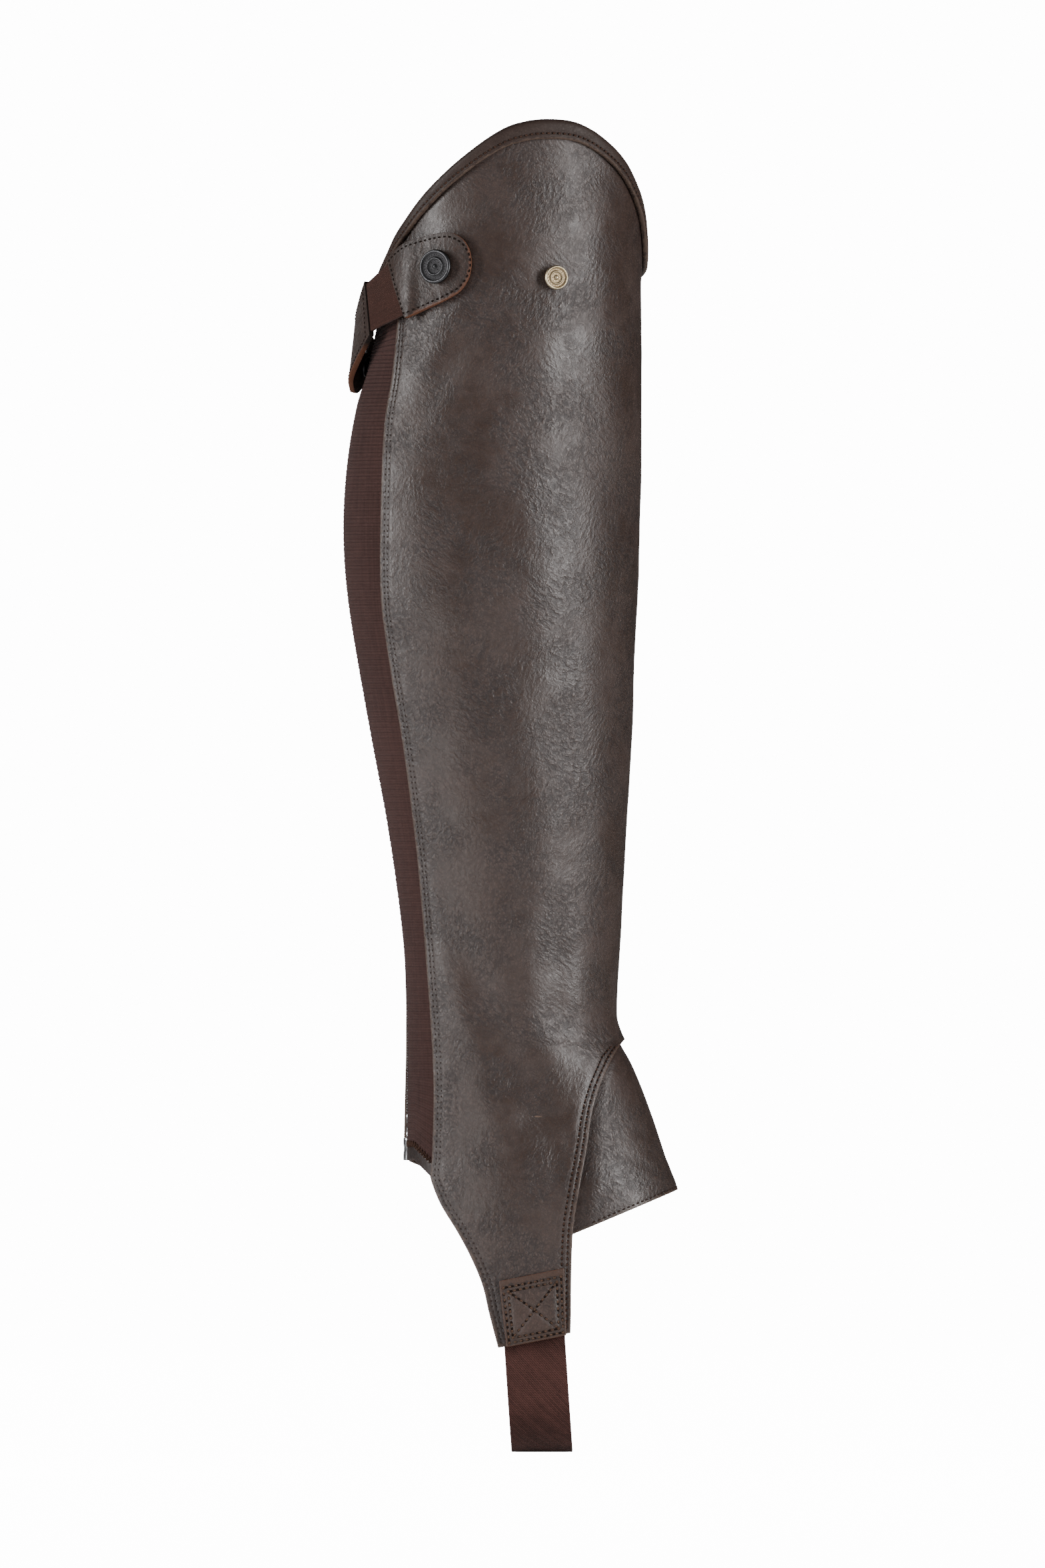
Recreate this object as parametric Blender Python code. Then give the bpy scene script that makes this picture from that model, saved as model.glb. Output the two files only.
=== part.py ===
"""A half chap for the right leg: a leather gaiter with a back zip, an elastic gusset,
a snap strap at the top and an elastic stirrup that goes under the boot.

It is modelled filled out, as it stands on a leg. +X is the toe side, -Y the outer side of the leg
and +Z is up. The origin is the middle of the calf. Sizes below are millimetres, and MM makes them metres.
Every panel lies on one leg surface, at its own distance out from it. Zero is the inner face of the leather.
"""

import math

import bmesh
import bpy
from mathutils import Vector

MM = 0.001

# Thicknesses, and the distance of each layer from the leg surface.
GAP = 0.3
LEATHER = 2.0
UNDER_OUT = -0.4
UNDER_IN = -1.9
RIB_DEPTH = 0.45
APPLIED_IN = LEATHER + GAP
PATCH_OUT = APPLIED_IN + 1.6
BAND_OUT = APPLIED_IN + 2.1
BAND_IN = UNDER_IN - GAP
BAND_WIDTH = 8.3
PANEL_BELOW_BAND = 2.8
BAND_COLUMNS = 52
TAPE_OUT = UNDER_IN - 0.7
TAPE_OUT_FAR = -1.7
TAPE_THICK = 0.9
CHAIN_OUT = 0.1
CHAIN_IN = -3.1
STRAP_THICK = 2.2
ELASTIC_THICK = 1.4
JOIN_GAP = 0.7
ELASTIC_STATIONS = 5
ELASTIC_NARROWER = 0.06
ELASTIC_SINK = 0.4

# The binding is folded over the top edge. Its section, as distance out and drop below the top edge.
BAND_HOOK = (
    (BAND_OUT - 0.7, BAND_WIDTH),
    (BAND_OUT, BAND_WIDTH - 0.8),
    (BAND_OUT, 1.4),
    (BAND_OUT - 1.0, 0.3),
    ((BAND_OUT + BAND_IN) / 2, 0.0),
    (BAND_IN - 0.4, 0.4),
    (BAND_IN - 1.2, 1.4),
    (BAND_IN - 1.2, BAND_WIDTH - 1.6),
    (BAND_IN, BAND_WIDTH - 1.2),
    (BAND_IN, 1.9),
    (APPLIED_IN - 0.3, 1.3),
    (APPLIED_IN, 1.7),
    (APPLIED_IN, BAND_WIDTH),
)

# Sections of the leg surface, from the top down.
# height, front, back, half width
LEG = (
    (172, 59.0, -41.0, 51.0),
    (130, 59.0, -43.0, 51.4),
    (112, 59.0, -44.5, 51.8),
    (95, 59.0, -46.8, 52.4),
    (75, 59.2, -50.5, 53.2),
    (56, 59.2, -54.8, 54.0),
    (42, 59.2, -59.0, 54.5),
    (20, 59.0, -62.8, 55.0),
    (-3, 58.5, -64.5, 55.0),
    (-25, 57.9, -64.0, 54.5),
    (-47, 56.9, -61.5, 53.2),
    (-92, 55.2, -53.7, 49.2),
    (-136, 52.8, -45.6, 44.6),
    (-181, 50.3, -39.5, 40.4),
    (-208, 48.9, -37.9, 38.6),
    (-216, 49.2, -37.8, 38.3),
    (-224, 52.2, -37.7, 38.0),
    (-232, 56.6, -37.7, 37.9),
    (-247, 62.9, -37.9, 37.9),
    (-270, 70.8, -38.1, 38.4),
    (-285, 76.3, -38.3, 38.8),
    (-305, 80.9, -38.6, 39.0),
    (-356, 82.9, -39.0, 39.0),
)
SQUARENESS = 2.25
SHIN_TAPER = 0.07

# The top edge. On the outer side it is read off as forward and height.
# forward, height
TOP_EDGE_OUTER = (
    (62.2, 125.6),
    (58.8, 137.0),
    (52.2, 148.2),
    (37.0, 159.4),
    (22.2, 161.6),
    (6.6, 159.3),
    (-12.4, 148.2),
    (-30.6, 131.4),
    (-38.8, 120.2),
    (-42.6, 114.2),
)
# angle round the leg, height
TOP_EDGE_BACK = ((158, 107), (166, 100), (174, 94), (183, 90))
TOP_EDGE_FRONT = ((0, 111), (-20, 104), (-50, 97.5), (-90, 93), (-135, 90), (-180, 89))
TOP_AT_ZIP = 80.0

# The edge of the main panel along the gusset, on the outer side.
# height, forward
GUSSET_SEAM = (
    (125, -36.5),
    (104, -40.0),
    (83, -41.1),
    (58, -43.4),
    (34, -47.0),
    (-5, -48.6),
    (-39, -48.4),
    (-65, -45.0),
    (-102, -38.9),
    (-145, -33.6),
    (-191, -29.5),
    (-237, -26.7),
    (-270, -27.2),
    (-282, -28.3),
)
# The middle of the zip, a little to the inner side of the back.
# height, side
ZIP_LINE = ((95, 8.6), (0, 10.0), (-110, 9.4), (-190, 6.6), (-240, 2.0), (-274, -0.8))
ZIP_EDGE = 5.2
CHAIN_HALF = 3.0
# The leather beside the zip is pressed down on its tape.
ZIP_SINK = 1.1
ZIP_SINK_REACH = 16.0

# The lower outline of each lobe of the main panel.
NOTCH_HEIGHT = -223.2
# height, forward
LOBE_FRONT = (
    (-223.2, 53.4),
    (-233.5, 45.6),
    (-250, 38.9),
    (-269, 35.9),
    (-287, 33.0),
    (-304, 31.5),
    (-344.7, 31.0),
)
# height, forward
LOBE_BACK = (
    (-279.7, -28.2),
    (-286, -26.0),
    (-292, -23.3),
    (-303, -16.6),
    (-314, -10.8),
    (-325, -6.3),
    (-336, -3.7),
    (-350.8, 0.2),
)
LOBE_ROWS = (-227, -233, -240, -251, -262, -271, -275.5, -279.7, -286, -292, -303, -314, -325, -336)
HEEL_ROW = -271
LOBE_END_BACK = -350.8
LOBE_END_FRONT = -344.7
UPPER_ROWS = 21
OUTER_COLUMNS = 17
INNER_COLUMNS = 21

# Soft hollows where the leather has creased: angle round the leg and height of the middle,
# half length, half width, tilt of the crease from level and depth.
MEAN_RADIUS = 48.0
FOLDS = (
    (62, -212, 22, 7, 24, 0.75),
    (98, -196, 20, 8, -14, 0.6),
    (84, -238, 26, 8, 12, 0.7),
    (112, -150, 24, 11, 30, 0.55),
    (66, -96, 30, 10, -22, 0.5),
    (104, -58, 26, 10, 18, 0.5),
    (52, 22, 34, 12, 70, 0.5),
    (112, 62, 22, 8, -34, 0.5),
    (-60, -205, 22, 7, -18, 0.7),
    (-100, -232, 26, 8, 10, 0.7),
    (-75, -120, 28, 10, 24, 0.5),
    (-115, -30, 28, 10, -20, 0.5),
)

# Ribs of the elastic gusset: height where each spacing starts, and the spacing.
RIB_SPACING = ((100, 1.68), (-67, 2.06), (-95, 2.45), (-122, 2.8), (-150, 3.2))
RIB_FAN_START = 64.0
GUSSET_END = -271.0
RIB_SLANT_START = -236.0
GUSSET_LAP = 7.0
GUSSET_COLUMNS = 4
ROWS_PER_INNER_ROW = 8
# The hem strip under it. Its lower edge goes down from the zip to the seam, one to one.
HEM_DEPTH = 6.4
HEM_AT_ZIP = -272.9
HEM_LOW = (-28.1, -279.6)

# The instep piece.
INSTEP_TOP = -212.0
INSTEP_LAP = 8.0
INSTEP_TIP = (75.9, -285.1)
INSTEP_HEM_SLOPE = 0.42
INSTEP_ROWS = 9
INSTEP_SINK = 1.8
INSTEP_SINK_START = 7.0
INSTEP_COLUMNS = 9

# The strap. The front tab lies on the leg: its outline is read off as forward and height.
# upper forward, upper height, lower forward, lower height, lift off the panel
FRONT_TAB = (
    (-11.3, 102.9, -11.3, 100.0, 0.0),
    (-12.3, 107.2, -12.4, 95.0, 0.0),
    (-15.3, 111.6, -15.8, 89.8, 0.0),
    (-20.3, 114.0, -21.4, 86.2, 0.0),
    (-26.4, 113.4, -28.4, 82.9, 0.0),
    (-32.0, 111.9, -33.2, 80.6, 0.6),
    (-38.4, 109.6, -36.4, 79.0, 2.4),
    (-43.2, 105.8, -38.0, 78.2, 3.0),
    (-45.9, 102.3, -38.9, 77.8, 3.0),
)
# The back tab stands off the calf. Its outer face goes through these two edges.
# upper forward, upper side, upper height, lower forward, lower side, lower height
BACK_TAB = (
    (-55.3, -14.0, 94.5, -53.2, -29.5, 72.0),
    (-57.6, -3.0, 87.2, -58.2, -17.5, 62.6),
    (-59.0, 8.0, 79.8, -61.9, -5.0, 54.2),
    (-58.2, 17.6, 72.0, -61.7, 4.4, 49.8),
    (-57.2, 24.6, 66.0, -60.9, 13.0, 48.2),
    (-55.8, 28.2, 60.6, -59.2, 21.2, 49.2),
    (-55.2, 28.8, 57.0, -57.2, 25.4, 52.4),
)
STRAP_COLUMNS = 6
SNAP_FORWARD = -25.6
SNAP_HEIGHT = 99.5
STUD_FORWARD = 24.5
STUD_HEIGHT = 95.4
SNAP_SEAT = 0.9
BACK_SNAP_STATION = 8
BACK_SNAP_SEAT = 0.45

# Turned profiles of the metal pieces, from the middle out and down to the seat: radius, height.
SNAP_CAP = ((0.9, 1.85), (1.5, 1.65), (3.1, 1.75), (3.6, 1.95), (4.3, 1.7), (5.4, 1.8), (6.1, 1.95),
            (6.65, 1.4), (6.65, 0.4), (5.9, 0.0))
STUD_CAP = ((0.7, 2.75), (1.3, 2.45), (2.2, 2.3), (2.6, 2.6), (3.1, 2.35), (3.9, 2.45), (4.35, 2.55),
            (4.7, 2.0), (4.7, 1.2), (3.6, 0.7), (2.6, 0.0))
SOCKET = ((1.8, 0.8), (2.4, 1.0), (3.6, 1.0), (4.2, 0.7), (4.3, 0.0))
STUD_BASE = ((2.0, 0.5), (3.2, 0.5), (3.6, 0.3), (3.6, 0.0))
TURN_SIDES = 24

# The elastic stirrup: a strap that goes down the outer side, under the boot and up again.
STIRRUP_WIDTH = 25.6
STIRRUP_THICK = 1.6
STIRRUP_TOP = -323.0
STIRRUP_BOTTOM = -394.8
STIRRUP_SIDE = 37.9
STIRRUP_CORNER = 24.0
STIRRUP_MIDDLE_TOP = 14.2
STIRRUP_MIDDLE_LOW = 19.0
STIRRUP_CORNER_STEPS = 9

# The patch sewn over the end of each lobe.
# upper back, upper front, lower back, lower front: forward and height
PATCH = ((1.2, -323.6), (29.0, -318.4), (4.4, -350.4), (29.6, -344.8))

# The zip: heights of its parts, and how far each tape goes under the edge beside it.
CHAIN_TOP = 82.3
CHAIN_END = -253.0
PIN_END = -263.2
BOX_END = -273.0
TAPE_TOP = 80.4
TAPE_END = -271.6
TAPE_LAP_OUTER = 5.0
TAPE_LAP_INNER = 6.0
TAPE_ROWS = 30
# name, top, end, half width, distance out of the outer face and of the inner face, rows
ZIP_BARS = (
    ("zip_chain", CHAIN_TOP, CHAIN_END, CHAIN_HALF, CHAIN_OUT, CHAIN_IN, 36),
    ("zip_pin", CHAIN_END - GAP, PIN_END, 1.5, -0.2, -2.6, 3),
    ("zip_box", PIN_END - GAP, BOX_END, 3.2, 0.9, -3.4, 3),
)
# The slider and its bridge from the side: drop below the slider's top, and distance out.
SLIDER_TOP = 86.4
SLIDER_HALF = 4.0
SLIDER_SIDE = (
    (0.0, -4.9), (10.0, -5.2), (10.0, -4.1), (3.6, -4.1), (3.6, 0.5), (10.0, 0.5), (9.6, 1.4), (0.8, 1.4),
    (0.0, 0.9),
)
BRIDGE_HALF = 0.9
BRIDGE_SIDE = (
    (1.6, 1.7), (1.6, 3.0), (2.6, 3.9), (7.0, 3.9), (8.0, 3.0), (8.0, 1.7), (7.0, 1.7), (7.0, 3.1), (2.6, 3.1),
    (2.6, 1.7),
)
# The pull: drop below the slider's top, half width. Its slot goes over the bridge.
PULL = ((5.4, 2.1), (6.5, 2.6), (8.8, 2.6), (10.4, 2.6), (20.8, 3.0), (22.4, 2.0))
PULL_SLOT = 1.5
PULL_OUT = 2.75
PULL_IN = 1.95

# Colours: red, green, blue, roughness, metallic
FINISHES = {
    "leather": (0.095, 0.072, 0.066, 0.5, 0.0),
    "binding": (0.083, 0.062, 0.056, 0.42, 0.0),
    "elastic": (0.052, 0.029, 0.025, 0.85, 0.0),
    "strap_elastic": (0.068, 0.030, 0.024, 0.8, 0.0),
    "zip_tape": (0.012, 0.011, 0.012, 0.9, 0.0),
    "zip_metal": (0.33, 0.33, 0.34, 0.38, 0.9),
    "snap_metal": (0.055, 0.054, 0.055, 0.36, 0.85),
    "brass": (0.56, 0.47, 0.33, 0.34, 0.95),
}


def clear_scene():
    for thing in list(bpy.data.objects):
        bpy.data.objects.remove(thing, do_unlink=True)


def material(finish):
    """The Principled material of a finish, made on its first use."""
    made = bpy.data.materials.get(finish)
    if made is None:
        red, green, blue, roughness, metallic = FINISHES[finish]
        made = bpy.data.materials.new(finish)
        made.use_nodes = True
        shader = made.node_tree.nodes["Principled BSDF"]
        shader.inputs["Base Color"].default_value = (red, green, blue, 1.0)
        shader.inputs["Roughness"].default_value = roughness
        shader.inputs["Metallic"].default_value = metallic
    return made


def smooth(table, at, column=1):
    """A value read from a table's rows by a curve through them. The first column is what it goes by."""
    rows = sorted(table)
    at = min(max(at, rows[0][0]), rows[-1][0])
    index = max(i for i in range(len(rows) - 1) if rows[i][0] <= at or i == 0)

    def slope(k):
        low, high = max(k - 1, 0), min(k + 1, len(rows) - 1)
        return (rows[high][column] - rows[low][column]) / (rows[high][0] - rows[low][0])

    (start, begin), (stop, end) = ((rows[k][0], rows[k][column]) for k in (index, index + 1))
    span = stop - start
    t = (at - start) / span
    return (
        begin * (1 + 2 * t) * (1 - t) ** 2
        + span * slope(index) * t * (1 - t) ** 2
        + end * t * t * (3 - 2 * t)
        + span * slope(index + 1) * t * t * (t - 1)
    )


def section(height):
    """(middle, half depth, half width) of the leg at a height."""
    front, back, wide = (smooth(LEG, height, column) for column in (1, 2, 3))
    return (front + back) / 2, (front - back) / 2, wide


def bent(value, power):
    return math.copysign(abs(value) ** power, value)


def on_leg(angle, height):
    """The point of the leg surface at an angle from the front, in degrees, outer side first."""
    middle, deep, wide = section(height)
    c, s = math.cos(math.radians(angle)), math.sin(math.radians(angle))
    x = middle + deep * bent(c, 2 / SQUARENESS)
    y = -wide * bent(s, 2 / SQUARENESS) * (1 - SHIN_TAPER * c)
    return Vector((x, y, height))


def facing(angle, height):
    """The direction that the leg surface faces."""
    round_it = on_leg(angle + 1.5, height) - on_leg(angle - 1.5, height)
    up_it = on_leg(angle, height + 1.0) - on_leg(angle, height - 1.0)
    return up_it.cross(round_it).normalized()


def off_leg(angle, height, out):
    return on_leg(angle, height) + facing(angle, height) * out


def angle_at(forward, height, out=0.0):
    """The angle on the outer side at which a skin that far out reaches a forward place."""
    middle, deep, _ = section(height)
    c = (forward - middle) / (deep + out)
    return math.degrees(math.acos(bent(min(max(c, -1.0), 1.0), SQUARENESS / 2)))


def back_angle(side, height):
    """The angle near the back of the leg at a place to the inner side."""
    wide = section(height)[2] * (1 + SHIN_TAPER)
    return 180 + math.degrees(math.asin(bent(side / wide, SQUARENESS / 2)))


def degrees_along(distance, angle, height):
    """How many degrees a distance along the surface is."""
    return distance / (on_leg(angle + 1, height) - on_leg(angle - 1, height)).length * 2


def zip_side(height):
    return smooth(ZIP_LINE, height)


def seam_angle(height):
    return angle_at(smooth(GUSSET_SEAM, height), height, LEATHER)


def inner_seam_angle(height):
    """The edge of the leather along the zip, on the inner side."""
    return back_angle(zip_side(height) + ZIP_EDGE, height) - 360


def zip_sink(angle, height):
    """How far the leather is pressed down beside the zip."""
    away = (angle - inner_seam_angle(height)) / degrees_along(1.0, angle, height)
    near = max(1 - max(away, 0.0) / ZIP_SINK_REACH, 0.0)
    return ZIP_SINK * near * near * (3 - 2 * near)


def drawn_in(angle, height):
    """How far the leather is drawn in by its creases and by the zip."""
    depth = zip_sink(angle, height) if angle < -90 else 0.0
    for middle, level, half_long, half_wide, tilt, deep in FOLDS:
        along = math.radians(angle - middle) * MEAN_RADIUS
        up = height - level
        c, s = math.cos(math.radians(tilt)), math.sin(math.radians(tilt))
        u, v = (along * c + up * s) / half_long, (up * c - along * s) / half_wide
        depth += deep * math.exp(-(u * u) - v * v)
    return depth


def top_table():
    """The top edge as angle and height, all the way round."""
    rows = [(angle_at(forward, height, BAND_OUT), height) for forward, height in TOP_EDGE_OUTER]
    return sorted([*rows, *TOP_EDGE_BACK, *TOP_EDGE_FRONT])


TOP_EDGE = top_table()


def top_height(angle):
    return smooth(TOP_EDGE, angle)


def add_object(name, mesh_data, finish, soft=True):
    """An object of a closed mesh, with its faces turned out."""
    bmesh.ops.recalc_face_normals(mesh_data, faces=mesh_data.faces)
    mesh = bpy.data.meshes.new(name)
    mesh_data.to_mesh(mesh)
    mesh_data.free()
    if soft:
        mesh.shade_smooth()
        mesh.set_sharp_from_angle(angle=math.radians(40))
    mesh.materials.append(material(finish))
    thing = bpy.data.objects.new(name, mesh)
    bpy.context.scene.collection.objects.link(thing)
    return thing


def wall(name, outer, inner, faces, finish):
    """A closed wall from two skins with the same faces. outer and inner are dicts of points."""
    made = bmesh.new()
    skins = []
    for skin in (outer, inner):
        skins.append({key: made.verts.new(point * MM) for key, point in skin.items()})
    edges = {}
    for face in faces:
        made.faces.new([skins[0][key] for key in face])
        made.faces.new([skins[1][key] for key in reversed(face)])
        for a, b in zip(face, face[1:] + face[:1]):
            edges[a, b] = True
    for a, b in edges:
        if (b, a) not in edges:
            made.faces.new([skins[0][b], skins[0][a], skins[1][a], skins[1][b]])
    return add_object(name, made, finish)


def grid_faces(rows, columns):
    return [
        [(i, j), (i, j + 1), (i + 1, j + 1), (i + 1, j)]
        for i in range(rows)
        for j in range(columns)
    ]


def leg_wall(name, places, out, into, faces, finish, sunk=None):
    """A wall on the leg. places gives the angle and height of each point, out and into its two layers,
    and sunk how far it is drawn in at a place."""
    outer, inner = {}, {}
    for key, (angle, height) in places.items():
        sink = sunk(angle, height) if sunk else 0.0
        outer[key] = off_leg(angle, height, out - sink)
        inner[key] = off_leg(angle, height, into - sink)
    return wall(name, outer, inner, faces, finish)


def lobe_back_angle(height):
    """The back outline of a lobe below the gusset."""
    return angle_at(smooth(LOBE_BACK, height), height, LEATHER)


def lobe_front_angle(height):
    if height >= NOTCH_HEIGHT:
        return 0.0
    return angle_at(smooth(LOBE_FRONT, height), height, LEATHER)


def lobe_height(row, share):
    """The height of a lobe's row. The last row slopes up to the front."""
    if row < len(LOBE_ROWS):
        return LOBE_ROWS[row]
    return LOBE_END_BACK + (LOBE_END_FRONT - LOBE_END_BACK) * share


def outer_edge(height):
    return seam_angle(height) if height > LOBE_BACK[0][0] else lobe_back_angle(height)


def inner_edge(height):
    """The back edge of the inner lobe: along the zip, then across the heel to the lobe's outline."""
    if height >= HEEL_ROW:
        return -inner_seam_angle(height)
    if height > LOBE_BACK[0][0]:
        forward, low = HEM_LOW
        return angle_at(forward - (height - low), height, LEATHER)
    return lobe_back_angle(height)


def leather_panel():
    """The main panel: one piece of leather from the gusset round the shin to the zip.
    It has a lobe on each side of the foot."""
    places, faces = {}, []
    sides = ((1, OUTER_COLUMNS, outer_edge), (-1, INNER_COLUMNS, inner_edge))
    for sign, columns, edge in sides:
        for j in range(columns + 1):
            share = j / columns
            for i in range(UPPER_ROWS + 1):
                rise = i / UPPER_ROWS
                height = NOTCH_HEIGHT
                for _ in range(4):
                    angle = sign * edge(height) * share
                    top = top_height(angle) - PANEL_BELOW_BAND
                    height = NOTCH_HEIGHT + (top - NOTCH_HEIGHT) * rise
                key = ("up", i, sign * j)
                places[key] = (angle, height)
            for row in range(len(LOBE_ROWS) + 1):
                height = lobe_height(row, 1 - share)
                front, back = lobe_front_angle(height), edge(height)
                places["low", row, sign * j, sign if j == 0 else 0] = (
                    sign * (front + (back - front) * share),
                    height,
                )
    for sign, columns, _ in sides:
        for j in range(columns):
            near, far = sign * j, sign * (j + 1)
            tip = sign if j == 0 else 0
            loops = [
                [("up", i, near), ("up", i, far), ("up", i + 1, far), ("up", i + 1, near)]
                for i in range(UPPER_ROWS)
            ]
            lows = [[("up", 0, near), ("up", 0, far)]]
            lows += [[("low", r, near, tip), ("low", r, far, 0)] for r in range(len(LOBE_ROWS) + 1)]
            loops += [[low[0], low[1], high[1], high[0]] for high, low in zip(lows, lows[1:])]
            faces += loops if sign > 0 else [loop[::-1] for loop in loops]
    return leg_wall("leather_panel", places, LEATHER, 0.0, faces, "leather", drawn_in)


def rib_rows():
    """Heights of the gusset's rows, a crest and a hollow for each rib, from the top down."""
    top = height = RIB_SPACING[0][0]
    crests = [top]
    while height > GUSSET_END or 2 * (len(crests) - 1) % ROWS_PER_INNER_ROW:
        height -= [step for start, step in RIB_SPACING if height <= start][-1]
        crests.append(height)
    shrink = (top - GUSSET_END) / (top - height)
    crests = [top - (top - crest) * shrink for crest in crests]
    rows = []
    for high, low in zip(crests, crests[1:]):
        rows += [(high, 0.0), ((high + low) / 2, RIB_DEPTH)]
    return [*rows, (GUSSET_END, 0.0)]


def hem_end(angle):
    """The lower edge of the hem strip at an angle."""
    forward, height = HEM_LOW
    return min(height - (on_leg(angle, HEM_AT_ZIP).x - forward), HEM_AT_ZIP)


def fanned(level, angle):
    """The height of a rib at an angle. The top ribs fan out to the top edge, and the lowest to the hem."""
    if level > RIB_FAN_START:
        share = (level - RIB_FAN_START) / (RIB_SPACING[0][0] - RIB_FAN_START)
        return RIB_FAN_START + (top_height(angle) - PANEL_BELOW_BAND - RIB_FAN_START) * share
    if level < RIB_SLANT_START:
        share = (level - RIB_SLANT_START) / (GUSSET_END - RIB_SLANT_START)
        return RIB_SLANT_START + (hem_end(angle) + HEM_DEPTH - RIB_SLANT_START) * share
    return level


def elastic_gusset():
    """The gusset beside the zip. Its ribs are raised on the outer face, and its inner face is plain."""
    rows = rib_rows()
    made = bmesh.new()

    def row_points(level, out):
        for j in range(GUSSET_COLUMNS + 1):
            height = level
            for _ in range(4):
                start = seam_angle(height)
                start -= degrees_along(GUSSET_LAP, start, height)
                stop = back_angle(zip_side(height) - ZIP_EDGE, height)
                angle = start + (stop - start) * j / GUSSET_COLUMNS
                height = fanned(level, angle)
            yield made.verts.new(off_leg(angle, height, out) * MM)

    outer = [list(row_points(height, UNDER_OUT - sink)) for height, sink in rows]
    inner = [list(row_points(height, UNDER_IN)) for height, _ in rows[::ROWS_PER_INNER_ROW]]
    for skin in (outer, inner):
        for above, below in zip(skin, skin[1:]):
            for j in range(GUSSET_COLUMNS):
                made.faces.new([above[j], above[j + 1], below[j + 1], below[j]])
    for j in range(GUSSET_COLUMNS):
        for a, b in ((outer[0], inner[0]), (outer[-1], inner[-1])):
            made.faces.new([a[j], a[j + 1], b[j + 1], b[j]])
    for block in range(len(inner) - 1):
        first = block * ROWS_PER_INNER_ROW
        half = first + ROWS_PER_INNER_ROW // 2
        for j in (0, GUSSET_COLUMNS):
            high, low = inner[block][j], inner[block + 1][j]
            made.faces.new([high, outer[half][j], low])
            for k in range(first, first + ROWS_PER_INNER_ROW):
                made.faces.new([high if k < half else low, outer[k][j], outer[k + 1][j]])
    return add_object("elastic_gusset", made, "elastic")


def gusset_hem():
    """The leather strip along the gusset's lower end."""
    rows, columns = 2, GUSSET_COLUMNS
    places = {}
    for i in range(rows + 1):
        for j in range(columns + 1):
            share = j / columns
            height = GUSSET_END
            for _ in range(4):
                start = seam_angle(height)
                start -= degrees_along(GUSSET_LAP, start, height)
                stop = back_angle(zip_side(height) - ZIP_EDGE, height)
                angle = start + (stop - start) * share
                height = hem_end(angle) + (HEM_DEPTH - GAP) * (1 - i / rows)
            places[i, j] = (angle, height)
    return leg_wall("gusset_hem", places, UNDER_OUT, UNDER_IN, grid_faces(rows, columns), "leather")


def instep_piece():
    """The piece over the instep, under the two front edges of the main panel."""
    places = {}
    for j in range(-INSTEP_COLUMNS, INSTEP_COLUMNS + 1):
        share = j / INSTEP_COLUMNS
        for i in range(INSTEP_ROWS + 1):
            height = INSTEP_TOP
            for _ in range(6):
                side = angle_at(instep_side(height), height, UNDER_OUT)
                angle = side * share
                forward = off_leg(abs(angle), height, UNDER_OUT).x
                end = INSTEP_TIP[1] - (INSTEP_TIP[0] - forward) * INSTEP_HEM_SLOPE
                height = INSTEP_TOP + (end - INSTEP_TOP) * i / INSTEP_ROWS
            places[i, j] = (angle, height)
    faces = [
        [(i, j), (i, j + 1), (i + 1, j + 1), (i + 1, j)]
        for i in range(INSTEP_ROWS)
        for j in range(-INSTEP_COLUMNS, INSTEP_COLUMNS)
    ]
    return leg_wall("instep_piece", places, UNDER_OUT, UNDER_IN, faces, "leather", lap_depth)


def instep_side(height):
    """Where the instep piece ends under the main panel, as a forward place."""
    return smooth(LOBE_FRONT, min(height, NOTCH_HEIGHT)) - INSTEP_LAP


def lap_depth(angle, height):
    """How far the instep piece sinks where it goes under the main panel."""
    edge = lobe_front_angle(height)
    under = min(max((abs(angle) - edge + INSTEP_SINK_START) / INSTEP_SINK_START, 0.0), 1.0)
    return INSTEP_SINK * under


def top_band():
    """The binding goes once round the top edge and is open at the zip."""
    first = inner_seam_angle(TOP_AT_ZIP) + 1.0
    last = back_angle(zip_side(TOP_AT_ZIP) - ZIP_EDGE, TOP_AT_ZIP) - 1.0
    made = bmesh.new()
    rings = []
    for j in range(BAND_COLUMNS + 1):
        angle = first + (last - first) * j / BAND_COLUMNS
        top = top_height(angle)
        rings.append([made.verts.new(off_leg(angle, top - drop, out) * MM) for out, drop in BAND_HOOK])
    for a, b in zip(rings, rings[1:]):
        for k in range(len(BAND_HOOK)):
            n = (k + 1) % len(BAND_HOOK)
            made.faces.new([a[k], a[n], b[n], b[k]])
    made.faces.new(rings[0])
    made.faces.new(rings[-1])
    return add_object("top_band", made, "binding")


def zip_tape(name, sign, far, layers):
    """One tape of the zip, from beside the chain to under the edge beside it."""
    places, outs = {}, {}
    for i in range(TAPE_ROWS + 1):
        height = TAPE_TOP + (TAPE_END - TAPE_TOP) * i / TAPE_ROWS
        for j, reach in enumerate((CHAIN_HALF + GAP, ZIP_EDGE - 0.4, far)):
            side = zip_side(height) + sign * reach
            places[i, j] = (back_angle(side, height), height)
            outs[i, j] = layers[j]
    outer = {key: off_leg(*places[key], outs[key]) for key in places}
    inner = {key: off_leg(*places[key], outs[key] - TAPE_THICK) for key in places}
    return wall(name, outer, inner, grid_faces(TAPE_ROWS, 2), "zip_tape")


def zip_bar(name, start, stop, half, out, into, rows):
    """A closed bar along the zip's line."""
    made = bmesh.new()
    rings = []
    middle = (out + into) / 2
    shape = ((-half, middle), (-half * 0.6, out), (half * 0.6, out), (half, middle),
             (half * 0.6, into), (-half * 0.6, into))
    for i in range(rows + 1):
        height = start + (stop - start) * i / rows
        rings.append([made.verts.new(zip_place(height, side, far) * MM) for side, far in shape])
    for a, b in zip(rings, rings[1:]):
        for k in range(len(shape)):
            n = (k + 1) % len(shape)
            made.faces.new([a[k], a[n], b[n], b[k]])
    made.faces.new(rings[0])
    made.faces.new(rings[-1])
    return add_object(name, made, "zip_metal")


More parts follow.
